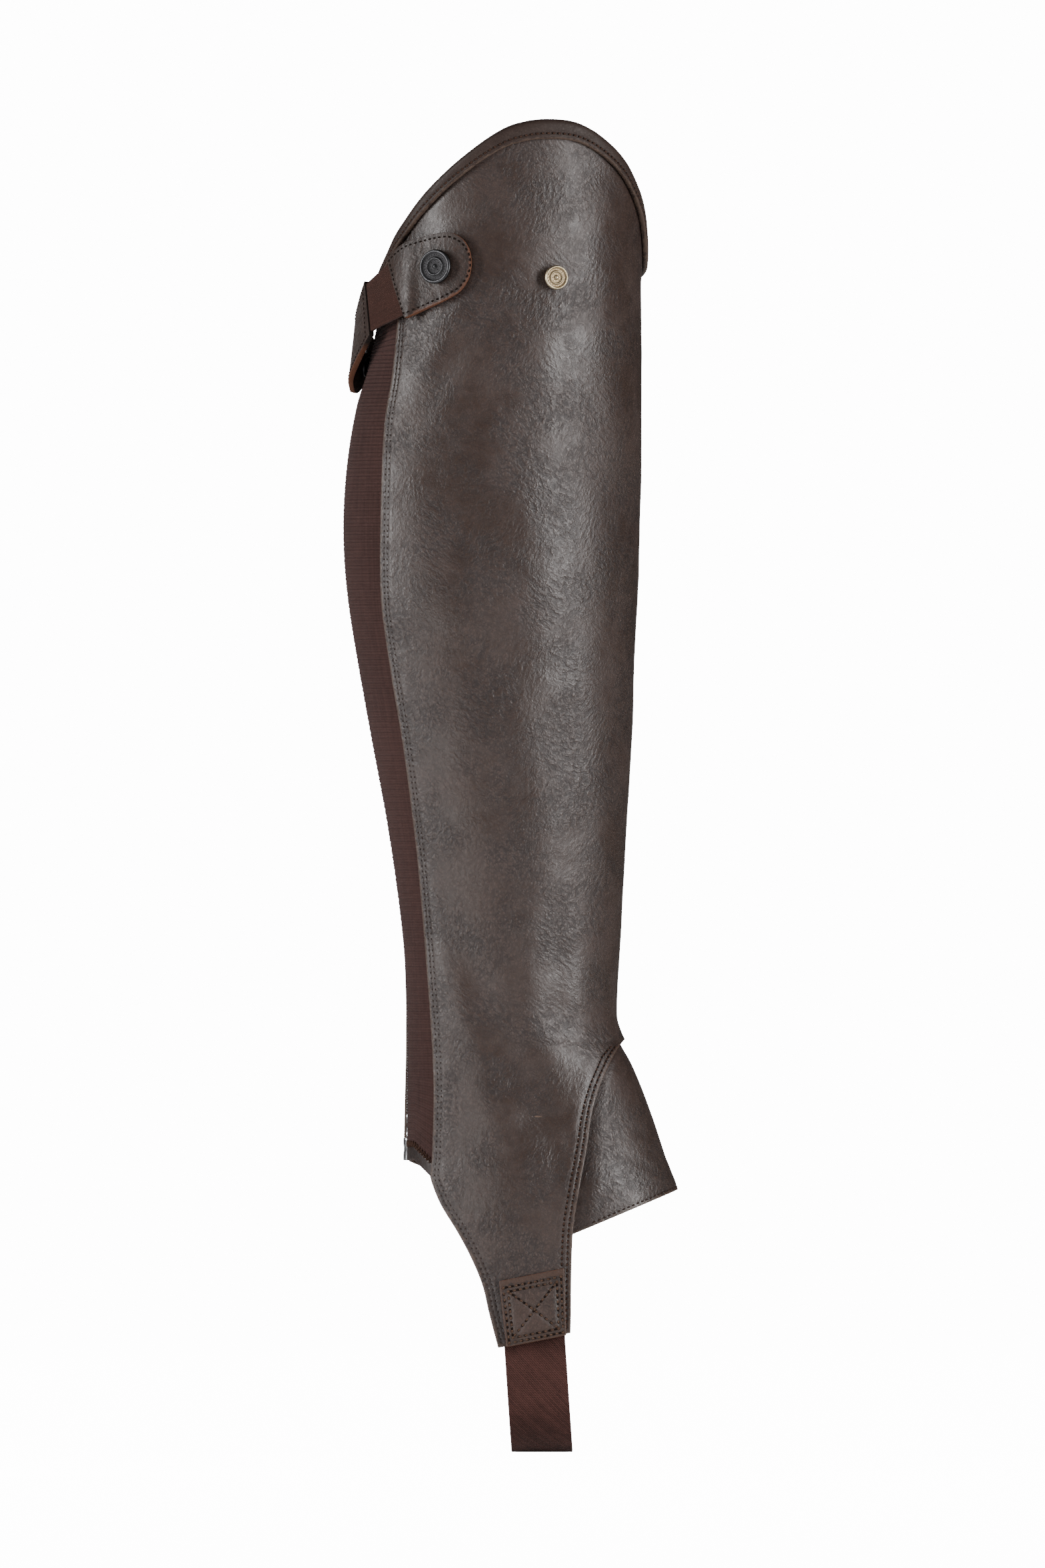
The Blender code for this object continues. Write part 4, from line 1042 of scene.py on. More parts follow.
@dataclass
class MainPanel:
    """The main panel: round the shin from the gusset to the zip, with a lobe on each side of the foot."""

    notch: float = -223.2
    below_band: float = 2.8
    # height, forward
    lobe_front: Curve = Curve((
        (-223.2, 53.4), (-233.5, 47.2), (-250, 40.9), (-269, 37.7), (-287, 34.3), (-304, 31.9),
        (-344.7, 31.0)))
    lobe_back: Curve = Curve((
        (-279.7, -28.2), (-286, -26.0), (-292, -23.3), (-303, -16.6), (-314, -10.8), (-325, -6.3),
        (-336, -3.7), (-350.8, 0.2)))
    lobe_back_top: float = -279.7
    heel_row: float = -271.0
    heel_low: float = -275.5
    hem_low: tuple[float, float] = (-28.1, -279.6)
    straight_end: float = -336.0
    end_back: float = -350.8
    end_front: float = -344.7
    zip_sink: float = 1.1
    zip_reach: float = 16.0
    mean_radius: float = 48.0
    # Distances from an edge of the columns beside it.
    beside: tuple[float, ...] = (0.0, 0.8, 1.3, 1.75, 2.2, 2.65, 3.15, 3.65, 4.15, 4.8, 6.2)
    between: int = 46
    upper_rows: int = 150
    lobe_rows: int = 58
    end_rows: int = 7
    # angle, height, half long, half wide, tilt from level, depth
    folds: Table = (
        (62, -212, 22, 7, 24, 0.75), (98, -196, 20, 8, -14, 0.6), (84, -238, 26, 8, 12, 0.7),
        (112, -150, 24, 11, 30, 0.55), (66, -96, 30, 10, -22, 0.5), (104, -58, 26, 10, 18, 0.5),
        (52, 22, 34, 12, 70, 0.5), (112, 62, 22, 8, -34, 0.5), (-60, -205, 22, 7, -18, 0.7),
        (-100, -232, 26, 8, 10, 0.7), (-75, -120, 28, 10, 24, 0.5), (-115, -30, 28, 10, -20, 0.5))
    creases: Table = (
        (98, -212, 62, 8, 86, 1.1), (66, -196, 44, 7, 100, 0.7), (112, -190, 30, 6, 78, 0.6),
        (84, -262, 26, 6, 74, 0.7), (104, 70, 22, 5, -50, 0.55), (113, 50, 20, 4.5, -62, 0.5),
        (84, 84, 26, 7, -56, 0.6), (60, 64, 40, 9, 82, 0.6), (96, -10, 46, 9, 84, 0.6),
        (60, -110, 60, 9, 92, 0.7), (-96, -214, 60, 8, 94, 1.0), (-64, -190, 44, 7, 80, 0.7),
        (-118, 40, 40, 8, 98, 0.6), (-70, 10, 56, 9, 84, 0.6), (117, 82, 11, 1.7, -38, 0.24),
        (112, 75, 14, 1.9, -30, 0.28), (105, 69, 12, 1.6, -44, 0.22), (120, 66, 9, 1.5, -24, 0.2),
        (70, -20, 16, 2.2, 16, 0.2), (88, -46, 18, 2.4, -12, 0.22), (64, -70, 14, 2.0, 34, 0.2),
        (78, -118, 13, 1.8, -26, 0.22), (100, -128, 15, 2.2, 14, 0.22), (58, -150, 12, 1.8, 28, 0.24),
        (86, -168, 17, 2.0, -8, 0.26), (70, -186, 13, 1.7, 20, 0.3), (96, -207, 15, 1.9, -16, 0.34),
        (64, -224, 12, 3.2, 30, 0.24), (80, -226, 16, 3.4, 6, 0.3), (102, -246, 13, 1.7, -20, 0.32),
        (78, -254, 17, 2.0, 10, 0.34), (92, -268, 14, 1.8, -6, 0.3), (74, -280, 11, 1.6, 18, 0.28),
        (88, -292, 10, 1.6, -14, 0.26), (48, 40, 12, 2.0, 62, 0.2), (74, 20, 15, 2.4, 40, 0.18),
        (94, 8, 13, 2.0, -32, 0.18), (60, 120, 14, 2.2, 50, 0.16), (-58, 60, 14, 2.2, -40, 0.2),
        (-96, 30, 16, 2.2, 22, 0.2), (-70, -60, 15, 2.0, -18, 0.22), (-104, -96, 15, 2.2, 26, 0.22),
        (-62, -140, 13, 1.9, -28, 0.24), (-92, -176, 16, 2.0, 10, 0.28), (-66, -196, 13, 1.8, -22, 0.32),
        (-84, -218, 16, 1.9, 12, 0.36), (-104, -244, 13, 1.8, 18, 0.32), (-76, -256, 16, 2.0, -8, 0.32),
        (-90, -276, 12, 1.7, 12, 0.28), (-134, 44, 14, 2.2, -30, 0.2), (-150, -70, 13, 2.0, 24, 0.2),
        (-20, -60, 10, 2.0, 40, 0.16), (16, -170, 10, 2.0, -30, 0.18))
    # A trough snakes from side to side by this share of its length, and a low ridge lies beside it.
    snake: float = 0.12
    snake_turns: float = 2.2
    ridge_at: float = 1.9
    ridge_half: float = 0.9
    shoulder: float = 0.3
    # Creases and swells fade in from this distance from an edge, over this width.
    calm_edge: float = 5.0
    calm_width: float = 6.0
    # The unevenness of the whole panel: the depth and size of its swells and of its ripples.
    swell: float = 0.7
    # The lobes under the patches stay flat: the heights where the swell ends and where it is full.
    swell_from: tuple[float, float] = (-318.0, -270.0)
    swell_size: float = 26.0
    ripple: float = 0.18
    ripple_size: float = 7.0

    def outer_edge(self, height: Points) -> Points:
        """The back edge of the outer side: the gusset's seam, then the lobe's outline."""
        lobe = LEG.angle_at(self.lobe_back.at(height), height, LEATHER)
        return np.where(height > self.lobe_back_top, LEG.seam_angle(height), lobe)

    def inner_edge(self, height: Points) -> Points:
        """The back edge of the inner side: along the zip, across the heel, then the lobe's outline."""
        forward, low = self.hem_low
        by_zip = 360 - LEG.zip_angle(np.maximum(height, self.heel_row), LEG.zip_edge)
        slanted = np.minimum(height, self.heel_low)
        heel = LEG.angle_at(forward - (slanted - low), slanted, LEATHER)
        share = np.clip((self.heel_row - height) / (self.heel_row - self.heel_low), 0, 1)
        lobe = LEG.angle_at(self.lobe_back.at(height), height, LEATHER)
        return np.where(height > self.lobe_back_top, by_zip + (heel - by_zip) * share, lobe)

    def front_edge(self, height: Points) -> Points:
        """The front edge of a lobe. It is the middle of the shin above the notch."""
        edge = LEG.angle_at(self.lobe_front.at(height), height, LEATHER)
        return np.where(height < self.notch, edge, 0.0)

    def slant(self, edge: Edge, height: Points) -> Points:
        """How much longer a level step is than a square one where an edge slants."""
        high, low = LEG.on(edge(height + 1), height + 1), LEG.on(edge(height - 1), height - 1)
        middle = edge(height)
        level = unit(LEG.on(middle + 1, height) - LEG.on(middle - 1, height))
        run = high - low
        across = (run * level).sum(-1)
        up = np.sqrt(np.maximum((run * run).sum(-1) - across**2, 1e-6))
        return np.clip(np.sqrt(1 + (across / up) ** 2), 1.0, 1.5)

    def inset(self, edge: Edge, height: Points, distance: Level, towards: int = -1) -> Points:
        """The angle at a distance in from an edge.

        Args:
            edge: The edge's angle as a function of height.
            height: The heights.
            distance: The distance, square to the edge.
            towards: -1 to step to the front, or 1 to the back.

        Returns:
            The angles.
        """
        angle = edge(height)
        return angle + towards * LEG.degrees(distance * self.slant(edge, height), angle, height)

    def spread(self, back: Edge, height: Points) -> Points:
        """The angles of a row of columns: close beside both edges, and even between them."""
        beside = np.array(self.beside)
        count = len(beside)
        middle = height[:, count:-count]
        start = self.inset(self.front_edge, middle, beside[-1], 1)
        stop = self.inset(back, middle, beside[-1], -1)
        return np.concatenate([
            self.inset(self.front_edge, height[:, :count], beside, 1),
            start + (stop - start) * np.linspace(0, 1, self.between + 2)[1:-1],
            self.inset(back, height[:, -count:], beside[::-1], -1)], 1)

    def side(self, sign: int) -> tuple[Points, Points]:
        """The angles and heights of one side's points, in rows from the top edge to the lobe's end."""
        back = self.outer_edge if sign > 0 else self.inner_edge
        columns = 2 * len(self.beside) + self.between
        rise = np.linspace(1, 0, self.upper_rows + 1)[:, None]
        upper = np.full((self.upper_rows + 1, columns), self.notch)
        for _ in range(5):
            angle = sign * self.spread(back, np.maximum(upper, self.notch))
            upper = self.notch + (LEG.top_height(angle) - self.below_band - self.notch) * rise
        lows = np.linspace(self.notch, self.straight_end, self.lobe_rows + 1)[1:, None] + np.zeros(columns)
        share = np.linspace(0, 1, columns)
        last = self.end_front + (self.end_back - self.end_front) * share
        part = np.linspace(0, 1, self.end_rows + 1)[1:, None]
        ends = self.straight_end + (last - self.straight_end) * part
        lower = np.concatenate([lows, ends])
        return np.concatenate([angle, sign * self.spread(back, lower)]), np.concatenate([upper, lower])

    def drawn_in(self, angle: Points, height: Points) -> Points:
        """How far the leather is drawn in by its large folds and by the zip."""
        away = (angle + 360 - LEG.zip_angle(height, LEG.zip_edge)) / LEG.degrees(1.0, angle, height)
        near = np.clip(1 - np.maximum(away, 0.0) / self.zip_reach, 0.0, 1.0)
        sink = np.where(angle < -90, self.zip_sink * near * near * (3 - 2 * near), 0.0)
        return sink + self.troughs(self.folds, angle, height, 0.0)

    def troughs(self, table: Table, angle: Points, height: Points, shoulder: float) -> Points:
        """The depth of soft troughs, with a low ridge along each side."""
        depth = np.zeros(np.shape(angle))
        for middle, level, half_long, half_wide, tilt, deep in table:
            along = np.radians(angle - middle) * self.mean_radius
            up = height - level
            c, s = math.cos(math.radians(tilt)), math.sin(math.radians(tilt))
            u = (along * c + up * s) / half_long
            v = (up * c - along * s + self.snake * half_long * np.sin(self.snake_turns * u)) / half_wide
            ridge = shoulder * bell(np.abs(v) - self.ridge_at, self.ridge_half)
            depth += deep * bell(u, 1.0) * (bell(v, 1.0) - ridge)
        return depth

    def outline(self, sign: int, distance: float, front: bool) -> Path:
        """A stitch row beside an edge of one side."""
        back = self.outer_edge if sign > 0 else self.inner_edge
        if front:
            height = np.arange(self.notch - 3.0, self.end_front + 2.0, -1.0)
            angle = sign * self.inset(self.front_edge, height, distance, 1)
        else:
            top = float(LEG.top_height(sign * back(np.array([100.0])))[0]) - 7.0
            height = np.arange(top, self.end_back + 3.0, -1.0)
            if sign < 0:
                height = height[(height > self.heel_row) | (height < self.heel_low)]
            angle = sign * self.inset(back, height, distance, -1)
        return laid(angle, height, LEATHER - self.drawn_in(angle, height) - GROOVE_DEPTH + STITCH_RISE)

    def net(self) -> tuple[Points, Points, Points]:
        """The angles and heights of all the points, and the faces. The sides share the shin's points."""
        (outer_angle, outer_height), (inner_angle, inner_height) = self.side(1), self.side(-1)
        outer = np.arange(outer_angle.size).reshape(outer_angle.shape)
        inner = outer + outer.size
        inner[: self.upper_rows + 1, 0] = outer[: self.upper_rows + 1, 0]
        faces = [np.stack([at[:-1, :-1], at[:-1, 1:], at[1:, 1:], at[1:, :-1]], -1).reshape(-1, 4)
                 for at in (outer, inner)]
        used, numbers = np.unique(np.concatenate([faces[0], faces[1][:, ::-1]]), return_inverse=True)
        angle = np.concatenate([outer_angle.ravel(), inner_angle.ravel()])[used]
        height = np.concatenate([outer_height.ravel(), inner_height.ravel()])[used]
        return angle, height, numbers.reshape(-1, 4)

    def build(self, finishes: Finishes, sewing: Sewing, tape: Thing) -> None:
        """Makes the panel and its stitches."""
        angle, height, quads = self.net()
        surface = LEG.on(angle, height)
        edge = edge_distance(surface, quads)
        sink = self.drawn_in(angle, height)
        inward = np.clip((edge - self.calm_edge) / self.calm_width, 0.0, 1.0)
        creased = self.troughs(self.creases, angle, height, self.shoulder) * inward
        loose = inward * np.interp(height, self.swell_from, (0.0, 1.0))
        swell = (ruffle(surface, self.swell_size, 1.3) - 1.0) / 2 * self.swell * loose
        ripple = (ruffle(surface, self.ripple_size, 4.1) - 1.0) / 2 * self.ripple * loose
        middle = (self.lobe_front.at(height) + self.lobe_back.at(height)) / 2
        in_front = (height < self.notch) & (surface[:, 0] > middle)
        groove = np.where(in_front, grooves(edge, FRONT_ROWS), grooves(edge, STITCH_ROWS))
        facing = LEG.facing(angle, height)
        out = LEATHER - sink - creased + swell + ripple - GROOVE_DEPTH * groove
        outer = surface + facing * out[:, None]
        inner = surface - facing * sink[:, None]
        along = np.stack([np.radians(angle) * self.mean_radius, height], 1)
        # The groove mark is painted shade along the stitch rows, where the leather is also drawn in.
        marks = {"edge": edge, "groove": np.clip(groove, 0, 1)}
        wall = Wall("panel_leather", outer, inner, quads, along, marks)
        panel = publish(wall.build(*finishes.cut_leather), "leather", "leather_panel")
        backs, fronts = (
            [self.outline(sign, distance, front) for sign in (1, -1) for distance in rows]
            for front, rows in ((False, STITCH_ROWS), (True, FRONT_ROWS)))
        sewn = [sewing.rows("panel_stitches", backs, finishes.thread_soft, "leather", sewing.fine),
                *sewing.laced("panel_front", fronts, finishes.thread_seam, finishes.thread)]


@dataclass
class InstepPiece:
    """The flared piece over the instep, under the front edges of the main panel."""

    panel: MainPanel
    top: float = -212.0
    lap: float = 8.0
    tip: tuple[float, float] = (75.9, -285.1)
    hem_slope: float = 0.42
    sink: float = 1.8
    sink_start: float = 7.0
    rows: int = 44
    columns: int = 34
    hem_row: float = 1.5
    groove_depth: float = 0.2
    stitch_depth: float = 0.15
    swell: float = 0.2
    swell_size: float = 18.0
    # Creases and swells fade in this far from the hem, over this width, and out where it has sunk this much.
    calm_hem: float = 3.0
    calm_width: float = 4.0
    calm_sink: float = 0.5
    # The share of the hem, to each side of its middle, that its stitches run over.
    stitched: float = 0.83
    # angle, height, half long, half wide, tilt from level, depth
    creases: Table = (
        (30, -262, 9, 2.2, 24, 0.3), (18, -250, 8, 1.8, -30, 0.26), (40, -274, 8, 1.8, 30, 0.26),
        (9, -270, 7, 2.0, 12, 0.22), (-14, -256, 9, 2.0, 26, 0.26), (-32, -268, 9, 2.2, -22, 0.3),
        (-22, -242, 7, 1.8, 20, 0.24), (26, -240, 6, 1.6, -16, 0.22))

    def side_angle(self, height: Points) -> Points:
        """Where the piece ends under the main panel."""
        forward = self.panel.lobe_front.at(np.minimum(height, self.panel.notch)) - self.lap
        return LEG.angle_at(forward, height, UNDER_OUT)

    def lapped(self, angle: Points, height: Points) -> Points:
        """How far the piece sinks where it goes under the main panel."""
        under = (np.abs(angle) - self.panel.front_edge(height) + self.sink_start) / self.sink_start
        return self.sink * np.clip(under, 0.0, 1.0)

    def place(self, share: Points, down: Points) -> tuple[Points, Points]:
        """The angles and heights at shares across the piece and down it."""
        height = np.full(np.broadcast(share, down).shape, self.top)
        for _ in range(8):
            angle = self.side_angle(height) * share
            forward = LEG.off(np.abs(angle), height, UNDER_OUT)[..., 0]
            end = self.tip[1] - (self.tip[0] - forward) * self.hem_slope
            height = self.top + (end - self.top) * down
        return angle, height

    def build(self, finishes: Finishes, sewing: Sewing) -> None:
        """Makes the piece and its hem's stitches."""
        share = np.linspace(-1, 1, 2 * self.columns + 1)[None, :]
        down = np.concatenate([np.linspace(0, 0.94, self.rows + 1), (0.955, 0.97, 0.98, 0.99, 1.0)])[:, None]
        angle, height = self.place(share, down)
        facing = LEG.facing(angle, height)
        sink = self.lapped(angle, height)
        surface = LEG.on(angle, height)
        hem = np.linalg.norm(surface - surface[-1:], axis=-1)
        groove = bell(hem - self.hem_row, GROOVE_HALF)
        clear = np.clip((hem - self.calm_hem) / self.calm_width, 0, 1)
        clear = clear * np.clip(1 - sink / self.calm_sink, 0, 1)
        creased = self.panel.troughs(self.creases, angle, height, self.panel.shoulder) * clear
        swell = (ruffle(surface, self.swell_size, 2.2).reshape(sink.shape) - 1) / 2 * self.swell * clear
        out = UNDER_OUT - sink - creased + swell - self.groove_depth * groove
        outer = surface + facing * out[..., None]
        inner = surface + facing * (UNDER_IN - sink)[..., None]
        # The groove mark is painted shade along the hem's stitch row, where the leather is also sunk.
        wall = grid_wall("instep_leather", outer, inner, groove=groove)
        piece = publish(wall.build(*finishes.cut_leather), "leather", "instep_piece")
        share = np.linspace(-self.stitched, self.stitched, 160)
        angle, height = self.place(share, np.full(share.shape, 1.0))
        length = np.linalg.norm(LEG.on(angle, height) - LEG.on(angle, height + 20), axis=-1) / 20
        height = height + self.hem_row / length
        row = laid(angle, height, UNDER_OUT - self.lapped(angle, height) - self.stitch_depth)
        sewn = sewing.rows("instep_stitches", [row], finishes.thread_soft, "leather")


@dataclass
class Binding:
    """The smooth binding folded over the top edge."""

    columns: int = 260
    at_zip: float = 80.0
    stitch_drop: float = 6.0
    stitch_out: float = 4.2
    # The stitches start and end this many degrees from the binding's ends.
    stitch_end: float = 1.5
    lumps: float = 0.10
    lump_size: float = 9.0
    # The distance from an edge that the inner side is given, so that it shows no wear.
    no_edge: float = 9.0
    # distance out, drop below the top edge
    section: Table = (
        (2.30, 8.20), (2.75, 8.42), (3.55, 8.40), (4.15, 8.15), (4.42, 7.65), (4.46, 7.05), (4.36, 6.55),
        (4.20, 6.20), (4.16, 6.00), (4.20, 5.80), (4.38, 5.35), (4.52, 4.60), (4.58, 3.70), (4.56, 2.80),
        (4.42, 2.00), (4.10, 1.25), (3.60, 0.70), (2.90, 0.30), (2.10, 0.08), (1.10, 0.00), (0.10, 0.02),
        (-0.90, 0.12), (-1.80, 0.32), (-2.60, 0.75), (-3.15, 1.35), (-3.40, 2.10), (-3.42, 3.40),
        (-3.42, 5.20), (-3.36, 6.40), (-3.05, 6.90), (-2.55, 7.05), (-2.20, 6.80), (-2.20, 4.50),
        (-2.20, 1.90), (2.00, 1.30), (2.30, 1.70), (2.30, 5.00))

    def build(self, finishes: Finishes, sewing: Sewing) -> None:
        """Makes the binding and its stitches."""
        first = float(LEG.zip_angle(self.at_zip, LEG.zip_edge)) - 360 + 1.0
        last = float(LEG.zip_angle(self.at_zip, -LEG.zip_edge)) - 1.0
        angle = np.linspace(first, last, self.columns + 1)
        out, drop = (np.array(self.section)[:, k] for k in (0, 1))
        top = LEG.top_height(angle)
        spots = LEG.off(angle[:, None], top[:, None] - drop, out)
        lumps = ruffle(spots * (1.0, 1.0, 0.5), self.lump_size, 5.5).reshape(spots.shape[:2]) * self.lumps
        lumps = lumps * np.clip((out - 2.0) / 2.0, 0, 1)
        spots = spots + LEG.facing(angle[:, None], top[:, None] - drop) * lumps[..., None]
        made = bmesh.new()
        loft(made, spots * MM)
        mesh = meshed("binding_leather", made)
        smooth_faces(mesh, 60)
        lip = np.hypot(np.maximum(BAND_WIDTH - drop, 0), np.maximum(BAND_OUT - out, 0) * 0.4)
        mark_points(mesh, "edge", np.tile(np.where(out > 2, lip, self.no_edge), len(angle)))
        # Painted shade along the stitch row on the outer face.
        groove = bell(drop - self.stitch_drop, GROOVE_HALF) * (out > 3)
        mark_points(mesh, "groove", np.tile(groove, len(angle)))
        band = publish(link("binding_leather", mesh, finishes.binding), "binding", "top_band")
        angle = np.linspace(first + self.stitch_end, last - self.stitch_end, 700)
        row = laid(angle, LEG.top_height(angle) - self.stitch_drop, self.stitch_out)
        sewn = sewing.laced("binding", [row], finishes.thread_seam, finishes.thread, "binding")


@dataclass
class Gusset:
    """The ribbed elastic beside the zip, and the leather strip at its lower end."""

    # height where a spacing starts, spacing
    spacing: Table = ((100, 1.68), (-67, 2.06), (-95, 2.45), (-122, 2.8), (-150, 3.2))
    per_inner: int = 8
    fan_start: float = 64.0
    slant_start: float = -236.0
    end: float = -271.0
    lap: float = 7.0
    below_band: float = 2.8
    hem_depth: float = 6.4
    hem_at_zip: float = -272.9
    hem_low: tuple[float, float] = (-28.1, -279.6)
    gap: float = 0.3
    rib_depth: float = 0.18
    # heights, how much painted shade lies in the hollows between the ribs there
    shown: Table = ((-200, -60, 10, 60), (0.22, 0.3, 0.5, 0.8))
    rib_rows: int = 6
    columns: int = 22
    # The stitch row beside the zip: its upper end, its distance from the zip's opening and its depth.
    row_top: float = 90.0
    row_inset: float = 1.8
    row_sink: float = 0.12
    # The zigzag over the hem strip: its run in shares across, its height over the strip and its rise.
    zigzag_run: tuple[float, float] = (0.22, 0.97)
    zigzag_up: float = 0.5
    zigzag_rise: float = 0.1

    def crests(self) -> Points:
        """The heights of the ribs' crests, from the top down."""
        top = height = self.spacing[0][0]
        found = [top]
        while height > self.end or 2 * (len(found) - 1) % self.per_inner:
            height -= [step for start, step in self.spacing if height <= start][-1]
            found.append(height)
        shrink = (top - self.end) / (top - height)
        return top - (top - np.array(found)) * shrink

    def hem_end(self, angle: Points) -> Points:
        """The lower edge of the hem strip at an angle."""
        forward, height = self.hem_low
        return np.minimum(height - (LEG.on(angle, self.hem_at_zip)[..., 0] - forward), self.hem_at_zip)

    def fanned(self, level: Points, angle: Points) -> Points:
        """The height of a rib at an angle. The top ribs fan out to the top edge, the lowest to the hem."""
        high = (level - self.fan_start) / (self.spacing[0][0] - self.fan_start)
        up = self.fan_start + (LEG.top_height(angle) - self.below_band - self.fan_start) * high
        low = (level - self.slant_start) / (self.end - self.slant_start)
        down = self.slant_start + (self.hem_end(angle) + self.hem_depth - self.slant_start) * low
        return np.where(level > self.fan_start, up, np.where(level < self.slant_start, down, level))

    def across(self, height: Points, share: Points) -> Points:
        """The angle at a share across the gusset, from under the panel's edge to the zip."""
        start = LEG.seam_angle(height)
        start = start - LEG.degrees(self.lap, start, height)
        return start + (LEG.zip_angle(height, -LEG.zip_edge) - start) * share

    def grid(self, levels: Points, share: Points) -> tuple[Points, Points]:
        """The angles and heights of the ribs' points."""
        level = levels[:, None] + np.zeros(len(share))
        height = level
        for _ in range(4):
            angle = self.across(height, share)
            height = self.fanned(level, angle)
        return angle, height

    def build(self, finishes: Finishes, sewing: Sewing, tape: Thing) -> None:
        """Makes the elastic, the hem strip and their stitches."""
        crests = self.crests()
        rib = np.linspace(0, len(crests) - 1, (len(crests) - 1) * self.rib_rows + 1)
        levels = np.interp(rib, np.arange(len(crests)), crests)
        share = np.linspace(0, 1, self.columns + 1)
        angle, height = self.grid(levels, share)
        facing = LEG.facing(angle, height)
        surface = LEG.on(angle, height)
        outer, inner = surface + facing * UNDER_OUT, surface + facing * UNDER_IN
        # Painted shade between the ribs, strongest midway between crests and stronger towards the top.
        hollow_shade = 1 - np.abs(np.cos(rib * math.pi)) ** 0.6
        groove = np.repeat((np.interp(levels, *self.shown) * hollow_shade**1.5)[:, None], len(share), 1)
        wall = grid_wall("gusset_elastic", outer, inner, rounding=0.35, groove=groove)
        wall.marks["rib"] = np.repeat(rib, len(share))
        thing = wall.build(finishes.gusset)
        self.raise_ribs(thing, wall, finishes.gusset)
        elastic = publish(thing, "elastic", "elastic_gusset")
        hem = self.hem(finishes)
        level = np.linspace(self.row_top, self.end + 3, 700)
        heights = self.fanned(level, self.across(level, np.full(level.shape, 0.9)))
        angles = LEG.zip_angle(heights, -LEG.zip_edge - self.row_inset)
        beside_zip = laid(angles, heights, UNDER_OUT - self.row_sink)
        share = np.linspace(*self.zigzag_run, 60)
        angles = self.across(np.full(share.shape, self.end), share)
        heights = self.hem_end(angles) + self.hem_depth + self.zigzag_up
        across_end = laid(angles, heights, UNDER_OUT + self.zigzag_rise)
        row = sewing.rows("gusset_stitches", [beside_zip], finishes.thread, "elastic", sewing.fine)
        zigzag = sewing.zigzag("gusset_zigzag", across_end, finishes.thread_seam, "elastic")

    def raise_ribs(self, thing: Thing, wall: Wall, material: Material) -> None:
        """Raises the ribs on the outer skin."""
        mesh = thing.data
        points = np.zeros(len(mesh.vertices) * 3, np.float32)
        mesh.vertices.foreach_get("co", points)
        points = points.reshape(-1, 3) / MM
        tree = kdtree.KDTree(len(wall.outer))
        for k, point in enumerate(wall.outer):
            tree.insert(point, k)
        tree.balance()
        found = [tree.find(point) for point in points]
        near = np.array([hit[1] for hit in found])
        outside = np.clip(1 - np.array([hit[2] for hit in found]) / 0.7, 0, 1)
        facing = unit(wall.outer - wall.inner)[near]
        mark_points(mesh, "outside", outside)
        mark_points(mesh, "lay", facing)
        grow(thing, rib_tree(), {"Depth": self.rib_depth * MM, "Material": material})
        smooth_faces(thing.data, 70)

    def hem(self, finishes: Finishes) -> Thing:
        """The leather strip along the gusset's lower end."""
        share = np.linspace(0, 1, 31)
        down = np.linspace(1, 0, 7)[:, None]
        height = np.full((len(down), len(share)), self.end)
        for _ in range(5):
            angle = self.across(height, share)
            height = self.hem_end(angle) + (self.hem_depth - self.gap) * down
        outer, inner = (LEG.off(angle, height, out) for out in (UNDER_OUT, UNDER_IN))
        wall = grid_wall("gusset_hem_leather", outer, inner, rounding=0.4)
        thing = wall.build(finishes.hem, finishes.edge, finishes.flesh)
        return publish(thing, "leather", "gusset_hem")


